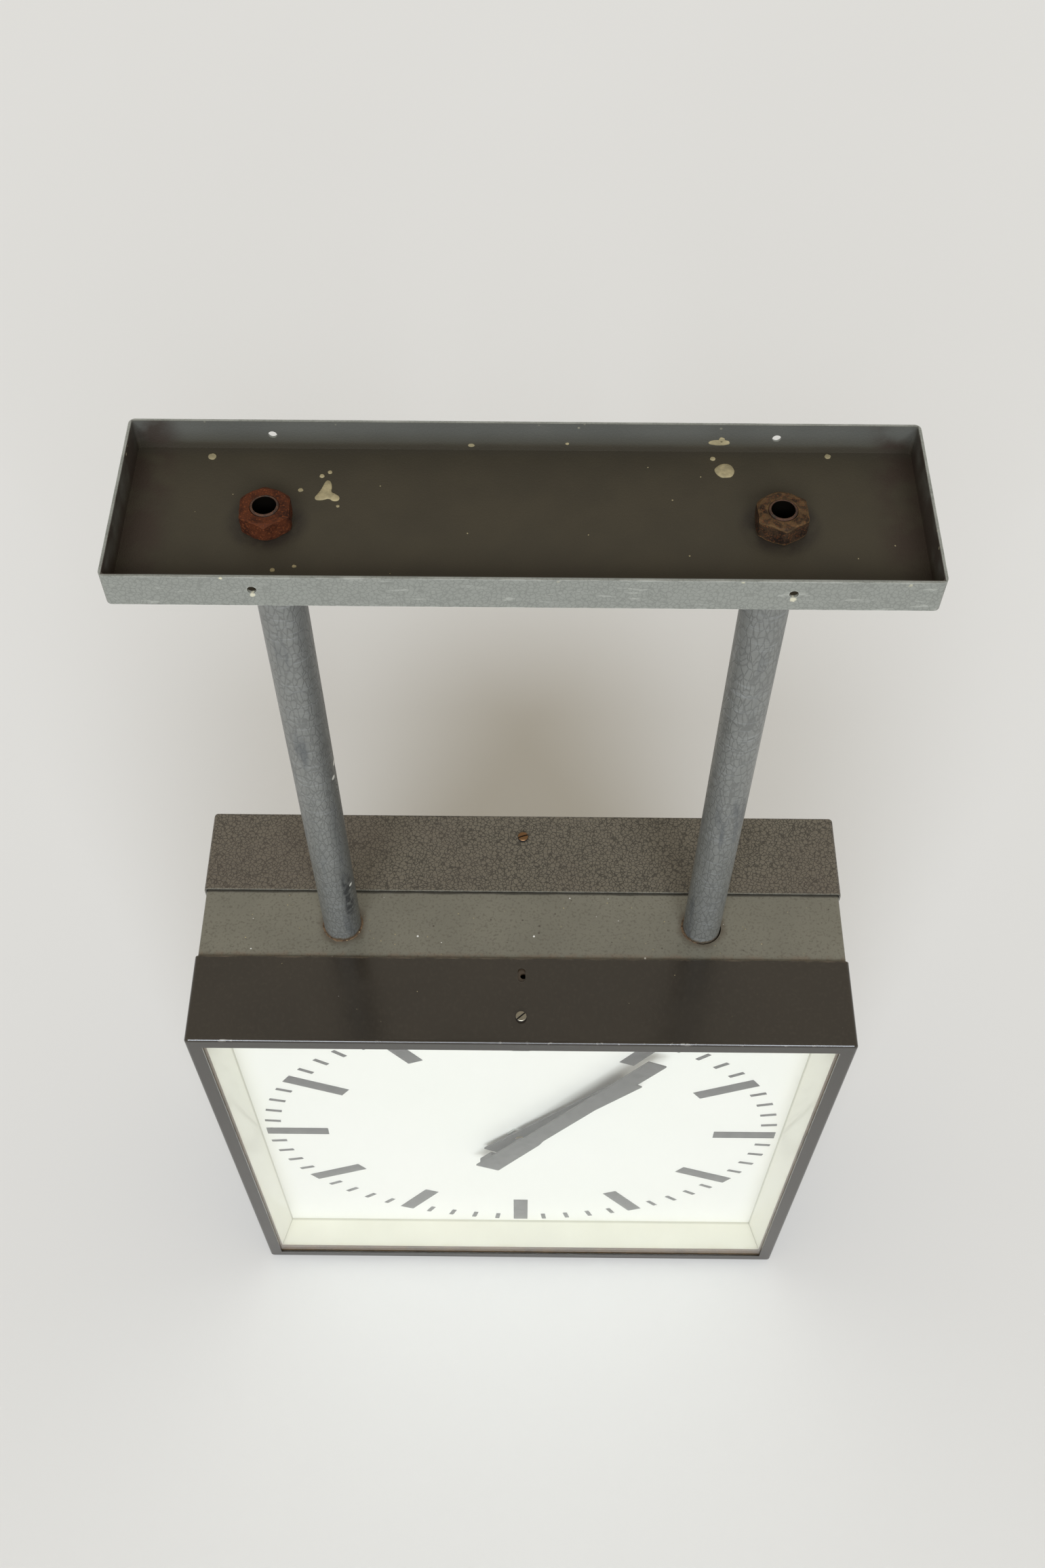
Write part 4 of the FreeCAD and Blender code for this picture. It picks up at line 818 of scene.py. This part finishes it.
def keep_piece(name, mesh, finish, body, replaces=(), sharp_angle=35.0):
    """Turn a finished mesh into a piece of the clock that rides on one body."""
    mesh.materials.clear()
    mesh.materials.append(FINISHES[finish])
    for face in mesh.polygons:
        face.use_smooth = True
        face.material_index = 0
    mesh.set_sharp_from_angle(angle=math.radians(sharp_angle))
    piece = bpy.data.objects.new(name, mesh)
    bpy.context.scene.collection.objects.link(piece)
    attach(piece, body)
    if replaces:
        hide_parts(*replaces)


def mesh_from(shape, name):
    bmesh.ops.recalc_face_normals(shape, faces=shape.faces)
    mesh = bpy.data.meshes.new(name)
    shape.to_mesh(mesh)
    shape.free()
    return mesh


def ring_of(shape, points):
    return [shape.verts.new(point) for point in points]


def skin_between(shape, first, second):
    count = len(first)
    for k in range(count):
        shape.faces.new((first[k], first[(k + 1) % count], second[(k + 1) % count], second[k]))


def skin_along(shape, rings):
    for lower, upper in zip(rings, rings[1:]):
        skin_between(shape, lower, upper)


def cap(shape, ring, pole):
    for k in range(len(ring)):
        shape.faces.new((pole, ring[k], ring[(k + 1) % len(ring)]))


def turned(shape, profile, centre, steps=48, closed=False):
    """Turn a profile of (radius, height) pairs round an upright axis. Radius 0 makes a pole."""
    rings = []
    for radius, height in profile:
        angles = [2 * math.pi * k / steps for k in range(steps if radius > 0.0 else 1)]
        rings.append(ring_of(shape, [
            centre + Vector((radius * math.cos(a), radius * math.sin(a), height)) for a in angles
        ]))
    pairs = list(zip(rings, rings[1:]))
    if closed:
        pairs.append((rings[-1], rings[0]))
    for lower, upper in pairs:
        if len(lower) == 1:
            cap(shape, upper, lower[0])
        elif len(upper) == 1:
            cap(shape, lower, upper[0])
        else:
            skin_between(shape, lower, upper)


def hexagon_reach(angle, flats):
    """How far a hexagon's side lies from its centre in a direction, its corners a little blunt."""
    sixth = math.radians(60)
    reach = flats / 2 / math.cos((angle % sixth) - sixth / 2)
    return min(reach, flats / 2 / math.cos(sixth / 2) - 0.25 * MM)


def add_nut(shape, centre, height, turn, pitting):
    """A hexagon nut chamfered at both faces, its skin swollen and pitted by rust."""
    flats, bore = sizes().nut_flats, sizes().nut_bore
    steps, layers = 120, 6
    chamfer_start = flats / 2 * 0.95
    slope = math.tan(math.radians(30))
    mouth = 0.5 * MM

    def ring(radius_of, height_of):
        points = []
        for k in range(steps):
            angle = 2 * math.pi * k / steps
            side = hexagon_reach(angle + math.radians(turn), flats)
            radius, level = radius_of(side), height_of(side)
            spot = centre + Vector((radius * math.cos(angle), radius * math.sin(angle), level))
            if radius >= chamfer_start:
                swell = (0.8 + noise.noise(spot * 300.0)) * pitting
                spot += Vector((math.cos(angle), math.sin(angle), 0.0)) * swell
            points.append(spot)
        return ring_of(shape, points)

    def drop(side):
        return max(0.0, side - chamfer_start) * slope

    rings = [
        ring(lambda side: bore, lambda side: mouth),
        ring(lambda side: bore + mouth, lambda side: 0.0),
        ring(lambda side: chamfer_start, lambda side: 0.0),
    ]
    for layer in range(layers + 1):
        share = layer / layers
        rings.append(ring(
            lambda side: side,
            lambda side, share=share: drop(side) + share * (height - 2 * drop(side)),
        ))
    rings += [
        ring(lambda side: chamfer_start, lambda side: height),
        ring(lambda side: bore + mouth, lambda side: height),
        ring(lambda side: bore, lambda side: height - mouth),
    ]
    skin_along(shape, rings + rings[:1])


def make_nuts():
    """The two rusty nuts in the canopy and the two plated ones under the body's top."""
    turn = 27.0
    for name, node, finish, slot, pitting in (
        ("canopy_hexagon_nuts", "canopy_nuts", "nut", "nut_steel", 0.45 * MM),
        ("hanger_hexagon_nuts", "hanger_nuts", "plated", "plated_steel", 0.0),
    ):
        low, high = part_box(node)
        shape = bmesh.new()
        for across in (-TUBE_X, TUBE_X):
            add_nut(shape, Vector((across, 0.0, low.z)), high.z - low.z, turn, pitting)
        keep_piece(name, mesh_from(shape, name), finish, "root", (node,), 28.0)


def make_nipples():
    """Hollow threaded nipples with a plug that fits the tube, bevelled mouths and thread ridges."""
    bore, pitch = sizes().nipple_bore, sizes().thread_pitch
    thread, groove = 6.5 * MM, 0.45 * MM
    plug, plug_length = 10.5 * MM, 20.0 * MM
    bevel, small_bevel = 0.4 * MM, 0.3 * MM
    for name, node, upwards in (
        ("canopy_threaded_nipples", "canopy_nipples", True),
        ("body_threaded_nipples", "body_nipples", False),
    ):
        low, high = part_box(node)
        length = high.z - low.z
        profile = [(bore, bevel), (bore + bevel, 0.0), (plug - bevel, 0.0), (plug, bevel)]
        profile += [(plug, plug_length - small_bevel), (plug - small_bevel, plug_length)]
        profile.append((thread, plug_length))
        level = plug_length + 0.5 * pitch
        while level + pitch < length - 0.5 * MM:
            profile += [(thread, level), (thread - groove, level + pitch / 2)]
            level += pitch
        profile += [(thread, level), (thread, length - bevel), (thread - bevel, length)]
        profile += [(bore + small_bevel, length), (bore, length - small_bevel)]
        if not upwards:
            profile = [(radius, length - above) for radius, above in profile]
        shape = bmesh.new()
        for across in (-TUBE_X, TUBE_X):
            turned(shape, profile, Vector((across, 0.0, low.z)), closed=True)
        keep_piece(name, mesh_from(shape, name), "nipple", "root", (node,), 28.0)


def cut_with(mesh, cutter, name):
    """Take one closed mesh away from another."""
    body = bpy.data.objects.new(f"{name}_body", mesh)
    tool = bpy.data.objects.new(f"{name}_tool", cutter)
    for item in (body, tool):
        bpy.context.scene.collection.objects.link(item)
    away = body.modifiers.new("Slot", "BOOLEAN")
    away.operation = "DIFFERENCE"
    away.solver = "EXACT"
    away.object = tool
    depsgraph = bpy.context.evaluated_depsgraph_get()
    result = bpy.data.meshes.new_from_object(body.evaluated_get(depsgraph))
    for item in (body, tool):
        bpy.data.objects.remove(item)
    result.name = name
    return result


def screw_profile(head, height):
    """A cheese-head screw from its tip, below its seat, to the middle of its head."""
    shank, length, pitch, groove = 2.0 * MM, 8.0 * MM, 0.7 * MM, 0.32 * MM
    edge, round_off = 0.15 * MM, 0.7 * MM
    profile = [(0.0, -length), (shank - 0.5 * MM, -length)]
    level = -length + 0.4 * MM
    while level < -0.9 * MM:
        profile += [(shank, level), (shank - groove, level + pitch / 2)]
        level += pitch
    profile += [(shank, level), (shank, 0.0), (head - edge, 0.0), (head, edge)]
    for k in range(7):
        bend = math.radians(15.0 * k)
        profile.append((
            head - round_off + round_off * math.cos(bend),
            height - edge - round_off + round_off * math.sin(bend),
        ))
    return profile + [(head * 0.45, height - 0.04 * MM), (0.0, height)]


def make_bezel_screws():
    """Cheese-head screws with a rounded rim and a cut slot."""
    head, height = sizes().screw_head, sizes().screw_head_height
    for side, slot_turn, slot in (("front", 42.0, "screw_steel"), ("rear", 20.0, "screw_rusty")):
        name = f"slotted_screw_{side}"
        low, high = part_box(f"bezel_screw_{side}")
        seat = Vector((0.0, (low.y + high.y) / 2, high.z - height))
        shape = bmesh.new()
        turned(shape, screw_profile(head, height), seat, 64)
        cutter = bmesh.new()
        bmesh.ops.create_cube(cutter, size=1.0)
        place = Matrix.Translation(seat + Vector((0.0, 0.0, height)))
        place = place @ Matrix.Rotation(math.radians(slot_turn), 4, "Z")
        place = place @ Matrix.Diagonal((head * 3, sizes().screw_slot, height, 1.0))
        bmesh.ops.transform(cutter, matrix=place, verts=cutter.verts)
        mesh = cut_with(mesh_from(shape, name), mesh_from(cutter, f"{name}_slot"), name)
        keep_piece(name, mesh, f"screw_{side}", "root", (f"bezel_screw_{side}",), 30.0)


# ---- pieces grown by geometry nodes ----


class Growth(Nodes):
    """A geometry tree with named inputs, which all end in a place, a turn and a material."""

    def __init__(self, name, **inputs):
        super().__init__(bpy.data.node_groups.new(name, "GeometryNodeTree"))
        sockets = self.tree.interface
        for label, kind in {**inputs, "Place": "Vector", "Turn": "Vector", "Material": "Material"}.items():
            sockets.new_socket(label.replace("_", " "), in_out="INPUT", socket_type=f"NodeSocket{kind}")
        sockets.new_socket("Geometry", in_out="OUTPUT", socket_type="NodeSocketGeometry")
        self.given = self.tree.nodes.new("NodeGroupInput").outputs

    def made(self, kind, values=None, **settings):
        return self.first(f"GeometryNode{kind}", values, **settings)

    def facing(self, **angles):
        """A rotation from the angles given."""
        turn = self.first("ShaderNodeCombineXYZ", {"X": 0.0, "Y": 0.0, "Z": 0.0, **angles})
        return self.first("FunctionNodeEulerToRotation", {0: turn})

    def between(self, low, high):
        values = {2: low, 3: high, "Seed": self.given["Seed"]}
        return self.add("FunctionNodeRandomValue", values, data_type="FLOAT").outputs[1]

    def finish(self, shape):
        """Put the shape in its place, make its instances real and give it its material."""
        turn = self.first("FunctionNodeEulerToRotation", {0: self.given["Turn"]})
        place = {"Geometry": shape, "Translation": self.given["Place"], "Rotation": turn}
        real = self.made("RealizeInstances", {"Geometry": self.made("Transform", place)})
        painted = self.made("SetMaterial", {"Geometry": real, "Material": self.given["Material"]})
        self.put(self.tree.nodes.new("NodeGroupOutput").inputs[0], painted)


def build_mark_growth():
    """Thin printed bars in a ring: laid out on XZ, standing off towards -Y."""
    growth = Growth(
        "Dial Marks", Count="Int", Skip_Every="Int", Length="Float", Width="Float",
        Outer_Radius="Float", Thickness="Float", Corner="Float",
    )
    given = growth.given
    corner_points, weld = 3, 0.02 * MM
    sides = {"Width": given["Width"], "Height": given["Length"]}
    outline = growth.made("CurvePrimitiveQuadrilateral", sides)
    corners = {"Curve": outline, "Count": corner_points, "Radius": given["Corner"]}
    rounded = growth.made("FilletCurve", corners, mode="POLY")
    face = growth.made("FillCurve", {"Curve": rounded}, mode="NGONS")
    rise = {"Mesh": face, "Offset Scale": given["Thickness"], "Individual": False}
    both = growth.add("GeometryNodeJoinGeometry")
    for part in (growth.made("ExtrudeMesh", rise), growth.made("FlipFaces", {"Mesh": face})):
        growth.put(both.inputs[0], part)
    closed = growth.made("MergeByDistance", {"Geometry": both.outputs[0], "Distance": weld})
    upright = growth.made("Transform", {"Geometry": closed, "Rotation": (math.pi / 2, 0.0, 0.0)})

    index = growth.made("InputIndex")
    turn = growth.calc("DIVIDE", growth.times(index, 2 * math.pi), given["Count"])
    middle = growth.minus(given["Outer Radius"], growth.calc("DIVIDE", given["Length"], 2.0))
    across = growth.times(growth.calc("SINE", turn), middle)
    up = growth.times(growth.calc("COSINE", turn), middle)
    spot = growth.first("ShaderNodeCombineXYZ", {"X": across, "Y": 0.0, "Z": up})
    chosen = growth.calc("GREATER_THAN", growth.calc("MODULO", index, given["Skip Every"]), 0.5)
    every = growth.calc("LESS_THAN", given["Skip Every"], 0.5)
    growth.finish(growth.made("InstanceOnPoints", {
        "Points": growth.made("Points", {"Count": given["Count"], "Position": spot}),
        "Selection": growth.calc("MAXIMUM", chosen, every),
        "Instance": upright, "Rotation": growth.facing(Y=turn),
    }))


def build_wire_growth():
    """Wire wound in close turns round an upright axis, one layer of it."""
    growth = Growth(
        "Wire Turns", Turns="Float", Radius="Float", Length="Float", Wire_Radius="Float", Steps="Int"
    )
    given = growth.given
    coil = growth.made("CurveSpiral", {
        "Resolution": given["Steps"], "Rotations": given["Turns"], "Start Radius": given["Radius"],
        "End Radius": given["Radius"], "Height": given["Length"], "Reverse": False,
    })
    section = growth.made("CurvePrimitiveCircle", {"Resolution": 6, "Radius": given["Wire Radius"]})
    growth.finish(growth.made("CurveToMesh", {"Curve": coil, "Profile Curve": section, "Fill Caps": True}))


def build_scatter_growth():
    """Small flattened grains scattered over a rectangle."""
    growth = Growth(
        "Scattered Grains", Long_Side="Float", Short_Side="Float", Per_Square_Metre="Float",
        Smallest="Float", Largest="Float", Seed="Int",
    )
    given = growth.given
    field = growth.made("MeshGrid", {"Size X": given["Long Side"], "Size Y": given["Short Side"]})
    points = growth.made("DistributePointsOnFaces", {
        "Mesh": field, "Density": given["Per Square Metre"], "Seed": given["Seed"],
    })
    grit = growth.made("MeshIcoSphere", {"Radius": 1.0, "Subdivisions": 2})
    flat = growth.made("Transform", {"Geometry": grit, "Scale": (1.0, 0.8, 0.22)})
    growth.finish(growth.made("InstanceOnPoints", {
        "Points": points, "Instance": flat, "Rotation": growth.facing(Z=growth.between(0.0, 6.28)),
        "Scale": growth.between(given["Smallest"], given["Largest"]),
    }))


def grow(tree_name, finish, **values):
    """Run a geometry tree once and return what it makes as a plain mesh."""
    tree = bpy.data.node_groups[tree_name]
    ground = bpy.data.objects.new(tree_name, bpy.data.meshes.new(tree_name))
    bpy.context.scene.collection.objects.link(ground)
    growth = ground.modifiers.new("Growth", "NODES")
    growth.node_group = tree
    values["Material"] = FINISHES[finish]
    for item in tree.interface.items_tree:
        key = item.name.replace(" ", "_")
        if item.in_out == "INPUT" and key in values:
            growth[item.identifier] = values[key]
    depsgraph = bpy.context.evaluated_depsgraph_get()
    mesh = bpy.data.meshes.new_from_object(ground.evaluated_get(depsgraph))
    bpy.data.objects.remove(ground)
    return mesh


def joined(meshes, name):
    shape = bmesh.new()
    for mesh in meshes:
        shape.from_mesh(mesh)
    whole = bpy.data.meshes.new(name)
    shape.to_mesh(whole)
    shape.free()
    return whole


def make_dial_marks():
    """Twelve hour bars and forty-eight minute ticks on each dial."""
    kinds = (
        {"Count": 12, "Skip_Every": 0, "Length": sizes().bar_length, "Width": sizes().bar_width},
        {"Count": 60, "Skip_Every": 5, "Length": sizes().tick_length, "Width": sizes().tick_width},
    )
    shared = {
        "Outer_Radius": (MARK_HIGH.x - MARK_LOW.x) / 2,
        "Thickness": MARK_HIGH.y - MARK_LOW.y,
        "Corner": sizes().mark_corner,
    }
    for side, face, turn in (("front", -DIAL_FACE, 0.0), ("rear", DIAL_FACE, math.pi)):
        place = {"Place": (0.0, face, DIAL_CENTRE), "Turn": (0.0, 0.0, turn)}
        meshes = [grow("Dial Marks", "mark", **kind, **shared, **place) for kind in kinds]
        name = f"printed_marks_{side}"
        keep_piece(name, joined(meshes, name), "mark", "root", (f"dial_marks_{side}",))


def make_windings():
    """Layers of enamelled wire in place of each coil's plain ring."""
    wire = sizes().wire
    turn_pitch, layer_pitch = 2.02, 1.8
    for side in SIDES:
        name = f"wound_coil_{side}"
        low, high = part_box(f"coil_winding_{side}")
        middle = (low + high) / 2
        length = high.x - low.x - 2 * wire
        outside = (high.z - low.z) / 2 - wire
        shared = {
            "Turns": length / (turn_pitch * wire), "Length": length, "Wire_Radius": wire, "Steps": 18,
            "Place": (low.x + wire, middle.y, middle.z), "Turn": (0.0, math.pi / 2, 0.0),
        }
        radii = [outside - layer * layer_pitch * wire for layer in range(sizes().wire_layers)]
        meshes = [grow("Wire Turns", "copper", Radius=radius, **shared) for radius in radii]
        mesh = joined(meshes, name)
        keep_piece(name, mesh, "copper", "root", (f"coil_winding_{side}",), 60.0)


def make_grains():
    """Plaster grit in the canopy and dust on the body and the front bezel."""
    bezel_middle = (BEZEL_LOW.y + BEZEL_HIGH.y) / 2
    for name, slot, middle, level, long_side, short_side, density, smallest, largest, seed in (
        ("canopy_grit", "canopy_paint", 0.0, TRAY_FLOOR, 0.34, 0.084, 420.0, 0.15, 0.45, 4),
        ("body_dust", "body_paint", 0.0, BODY_ROOF, 0.4, 0.044, 2600.0, 0.15, 0.5, 7),
        ("bezel_dust", "bezel_paint_front", bezel_middle, BEZEL_ROOF, 0.4, 0.05, 500.0, 0.12, 0.35, 11),
    ):
        mesh = grow(
            "Scattered Grains", "plaster", Long_Side=long_side, Short_Side=short_side,
            Per_Square_Metre=density, Smallest=smallest * MM, Largest=largest * MM, Seed=seed,
            Place=(0.0, middle, level), Turn=(0.0, 0.0, 0.0),
        )
        keep_piece(name, mesh, "plaster", "root")


# ---- splashes and dirt ----

# one plaster splash in the canopy, as a walk round its edge in millimetres
BIG_SPLASH = (
    (-91.8, 26.4), (-89.6, 26.0), (-88.6, 22.0), (-88.9, 18.6), (-86.4, 17.4), (-84.6, 15.6), (-85.0, 13.3),
    (-87.8, 13.0), (-89.6, 14.9), (-92.4, 13.7), (-95.6, 13.6), (-96.4, 15.4), (-94.6, 18.2), (-93.2, 21.4),
)
# round splashes on the canopy's floor: across, along, radius, all in millimetres
ROUND_SPLASHES = (
    (93.6, 34.4, 4.7), (88.3, 42.4, 1.3), (142.3, 44.4, 1.5), (-146.3, 41.2, 2.0), (-103.1, 20.0, 1.2),
    (-93.9, 29.1, 1.2), (-90.3, 31.6, 1.1), (-85.2, 10.0, 0.8), (-111.5, -29.3, 1.2), (-102.0, -27.0, 1.0),
)
# splashes on the canopy's rear wall: across, height, half width, half height
WALL_SPLASHES = (
    (91.1, -10.6, 5.2, 1.7), (92.0, -9.0, 1.5, 1.6), (-25.0, -13.5, 1.6, 0.9), (20.0, -12.0, 0.9, 0.6),
)


def add_blob(shape, edge, thickness, lift):
    """A low dome over a closed outline. lift turns a flat point and a height into a place."""
    centre = sum((Vector(point) for point in edge), Vector((0.0, 0.0))) / len(edge)
    rings = []
    for share, rise in ((1.0, -0.15), (1.0, 0.35), (0.9, 0.8), (0.6, 1.0)):
        rings.append(ring_of(shape, [
            lift(centre + (Vector(point) - centre) * share, thickness * rise) for point in edge
        ]))
    skin_along(shape, rings)
    cap(shape, rings[-1], shape.verts.new(lift(centre, thickness)))
    cap(shape, rings[0], shape.verts.new(lift(centre, -0.15 * thickness)))


def rounded_edge(across, along, half_width, half_height, seed, steps=28):
    """A rough oval outline in metres."""
    points = []
    for k in range(steps):
        angle = 2 * math.pi * k / steps
        rough = 1.0 + 0.16 * noise.noise(Vector((math.cos(angle) * 1.4, math.sin(angle) * 1.4, seed)))
        points.append((
            (across + half_width * rough * math.cos(angle)) * MM,
            (along + half_height * rough * math.sin(angle)) * MM,
        ))
    return points


def smooth_edge(corners, passes=2):
    """Cut the corners of a closed walk, in metres."""
    points = [Vector(corner) * MM for corner in corners]
    for _ in range(passes):
        cut = []
        for here, following in zip(points, points[1:] + points[:1]):
            cut += [here.lerp(following, 0.25), here.lerp(following, 0.75)]
        points = cut
    return points


def make_splashes():
    """Old plaster on the canopy's floor and rear wall."""
    sheet = 1.5 * MM

    def on_floor(point, height):
        return Vector((point[0], point[1], TRAY_FLOOR + height))

    def on_rear_wall(point, height):
        return Vector((point[0], TRAY_HIGH.y - sheet - height, point[1]))

    shape = bmesh.new()
    add_blob(shape, smooth_edge(BIG_SPLASH), 0.5 * MM, on_floor)
    for seed, (across, along, radius) in enumerate(ROUND_SPLASHES):
        edge = rounded_edge(across, along, radius, radius * 0.92, seed)
        add_blob(shape, edge, min(0.6, 0.3 * radius) * MM, on_floor)
    for seed, splash in enumerate(WALL_SPLASHES, start=20):
        add_blob(shape, rounded_edge(*splash, seed), 0.4 * MM, on_rear_wall)
    keep_piece("plaster_splashes", mesh_from(shape, "plaster_splashes"), "plaster", "root")


def make_tube_dirt():
    """Rust and old sealant in the gap at the foot of each tube: all round the left, part of the right."""
    gap_radius, section = 12.4, 8
    bends = [2 * math.pi * spoke / section for spoke in range(section)]
    for name, across, start, sweep in (
        ("foot_dirt_left", -TUBE_X, 0.0, 360.0), ("foot_dirt_right", TUBE_X, 110.0, 150.0),
    ):
        shape = bmesh.new()
        whole = sweep >= 360.0
        steps = int(sweep / 4)
        rings = []
        for k in range(steps if whole else steps + 1):
            angle = math.radians(start + sweep * k / steps)
            taper = 1.0 if whole else max(0.15, math.sin(math.pi * k / steps) ** 0.5)
            rough = noise.noise(Vector((math.cos(angle) * 6, math.sin(angle) * 6, across * 40)))
            thick = taper * (0.75 + 0.5 * rough) * MM
            out = Vector((math.cos(angle), math.sin(angle), 0.0))
            middle = Vector((across, 0.0, BODY_ROOF)) + out * gap_radius * MM
            rings.append(ring_of(shape, [
                middle + out * thick * math.cos(bend) + Vector((0, 0, thick * 0.7 * math.sin(bend)))
                for bend in bends
            ]))
        skin_along(shape, rings)
        if whole:
            skin_between(shape, rings[-1], rings[0])
        else:
            shape.faces.new(rings[0])
            shape.faces.new(rings[-1])
        keep_piece(name, mesh_from(shape, name), "dirt", "root")


# ---- camera and stage ----

# the viewpoint, found by fitting the clock's corners to the photograph
CAMERA_PLACE = (0.00304, -0.50737, 0.51228)
CAMERA_RIGHT = (0.99996, 0.00910, 0.00205)
CAMERA_UP = (-0.00875, 0.83896, 0.54412)
CAMERA_LENS = 36.365
CAMERA_SHIFT = 0.0277
LAMP_HEIGHT = 33.0
LAMP_STRENGTH = 1.74
LAMP_SPREAD = 24.0


def make_camera():
    """The photograph's viewpoint, in front of the clock and above it."""
    lens = bpy.data.cameras.new("Camera")
    lens.sensor_width = 36.0
    lens.lens = CAMERA_LENS
    lens.shift_y = CAMERA_SHIFT
    lens.clip_start = 0.05
    lens.clip_end = 60.0
    camera = bpy.data.objects.new("Camera", lens)
    right, up = Vector(CAMERA_RIGHT), Vector(CAMERA_UP)
    turn = Matrix((right, up, right.cross(up))).transposed()
    camera.matrix_world = Matrix.Translation(CAMERA_PLACE) @ turn.to_4x4()
    bpy.context.scene.collection.objects.link(camera)
    bpy.context.scene.camera = camera


def make_floor():
    shape = bmesh.new()
    bmesh.ops.create_grid(shape, x_segments=8, y_segments=8, size=9.0)
    mesh = bpy.data.meshes.new("studio_floor")
    shape.to_mesh(mesh)
    shape.free()
    finish = Finish("floor_paper", Roughness=0.95, Specular_IOR_Level=0.1)
    finish.drive(Base_Color=finish.mottled(colours().ground, 1.5, 0.15, 0.97, 1.02))
    mesh.materials.append(finish.material)
    floor = bpy.data.objects.new("studio_floor", mesh)
    floor.location = (0.0, 0.0, CAD_BOX[0].z - 0.2 * MM)
    bpy.context.scene.collection.objects.link(floor)


def make_lights():
    """Two broad cool lamps in front and a warm dim room."""
    scene = bpy.context.scene
    scene.view_settings.view_transform = "Standard"
    world = bpy.data.worlds.new("Studio")
    world.use_nodes = True
    sky = world.node_tree.nodes["Background"]
    sky.inputs["Color"].default_value = (1.0, 0.92, 0.78, 1.0)
    sky.inputs["Strength"].default_value = 0.5
    scene.world = world
    for name, heading in (("left_bank", -16.0), ("right_bank", 16.0)):
        lamp = bpy.data.lights.new(name, "SUN")
        lamp.energy = LAMP_STRENGTH
        lamp.angle = math.radians(LAMP_SPREAD)
        lamp.color = (0.845, 0.905, 1.0)
        holder = bpy.data.objects.new(name, lamp)
        around, above = math.radians(heading), math.radians(LAMP_HEIGHT)
        level = math.cos(above)
        toward = Vector((math.sin(around) * level, -math.cos(around) * level, math.sin(above)))
        holder.rotation_mode = "QUATERNION"
        holder.rotation_quaternion = toward.to_track_quat("Z", "Y")
        scene.collection.objects.link(holder)


# ---- operators ----


class CLOCK_OT_camera(bpy.types.Operator):
    """Place the camera where the photograph was taken"""

    bl_idname = "clock.camera"
    bl_label = "Camera"

    def execute(self, context):
        make_camera()
        return {"FINISHED"}


class CLOCK_OT_stage(bpy.types.Operator):
    """Lay the floor and light the clock"""

    bl_idname = "clock.stage"
    bl_label = "Stage"

    def execute(self, context):
        make_floor()
        make_lights()
        return {"FINISHED"}


class CLOCK_OT_finishes(bpy.types.Operator):
    """Paint every piece of the frame"""

    bl_idname = "clock.finishes"
    bl_label = "Finishes"

    def execute(self, context):
        make_finishes()
        for finish, nodes in NODE_FINISHES.items():
            for node in nodes:
                dress(node, finish)
        for finish, nodes in SIDE_FINISHES.items():
            for node in nodes:
                for side in SIDES:
                    dress(f"{node}_{side}", finish)
        return {"FINISHED"}


class CLOCK_OT_nuts(bpy.types.Operator):
    """Make the chamfered hexagon nuts"""

    bl_idname = "clock.nuts"
    bl_label = "Nuts"

    def execute(self, context):
        make_nuts()
        return {"FINISHED"}


class CLOCK_OT_nipples(bpy.types.Operator):
    """Make the threaded nipples"""

    bl_idname = "clock.nipples"
    bl_label = "Nipples"

    def execute(self, context):
        make_nipples()
        return {"FINISHED"}


class CLOCK_OT_bezel_screws(bpy.types.Operator):
    """Make the slotted screws of the bezels"""

    bl_idname = "clock.bezel_screws"
    bl_label = "Bezel screws"

    def execute(self, context):
        make_bezel_screws()
        return {"FINISHED"}


class CLOCK_OT_dial_marks(bpy.types.Operator):
    """Print the bars and ticks on both dials"""

    bl_idname = "clock.dial_marks"
    bl_label = "Dial marks"

    def execute(self, context):
        build_mark_growth()
        make_dial_marks()
        return {"FINISHED"}


class CLOCK_OT_windings(bpy.types.Operator):
    """Wind the coils"""

    bl_idname = "clock.windings"
    bl_label = "Windings"

    def execute(self, context):
        build_wire_growth()
        make_windings()
        return {"FINISHED"}


class CLOCK_OT_age(bpy.types.Operator):
    """Add the plaster splashes, the grit and the dirt of long use"""

    bl_idname = "clock.age"
    bl_label = "Age"

    def execute(self, context):
        build_scatter_growth()
        make_splashes()
        make_grains()
        make_tube_dirt()
        return {"FINISHED"}


STEPS = ("camera", "stage", "finishes", "nuts", "nipples", "bezel_screws", "dial_marks", "windings", "age")


class CLOCK_PT_panel(bpy.types.Panel):
    """Lists the settings and the steps that dress the clock"""

    bl_idname = "CLOCK_PT_panel"
    bl_label = "Station Clock"
    bl_space_type = "VIEW_3D"
    bl_region_type = "UI"
    bl_category = "Clock"

    def draw(self, context):
        for group in (context.scene.clock_colours, context.scene.clock_sizes):
            box = self.layout.box()
            for name in group.bl_rna.properties.keys():
                if name not in ("rna_type", "name"):
                    box.prop(group, name)
        for name in STEPS:
            self.layout.operator(f"clock.{name}")


CLASSES = (
    ClockColours, ClockSizes, CLOCK_OT_camera, CLOCK_OT_stage, CLOCK_OT_finishes, CLOCK_OT_nuts,
    CLOCK_OT_nipples, CLOCK_OT_bezel_screws, CLOCK_OT_dial_marks, CLOCK_OT_windings, CLOCK_OT_age,
    CLOCK_PT_panel,
)


def register():
    for item in CLASSES:
        bpy.utils.register_class(item)
    bpy.types.Scene.clock_colours = PointerProperty(type=ClockColours)
    bpy.types.Scene.clock_sizes = PointerProperty(type=ClockSizes)


def unregister():
    del bpy.types.Scene.clock_sizes
    del bpy.types.Scene.clock_colours
    for item in reversed(CLASSES):
        bpy.utils.unregister_class(item)


def main():
    register()
    for name in STEPS:
        getattr(bpy.ops.clock, name)()


if __name__ == "__main__":
    main()
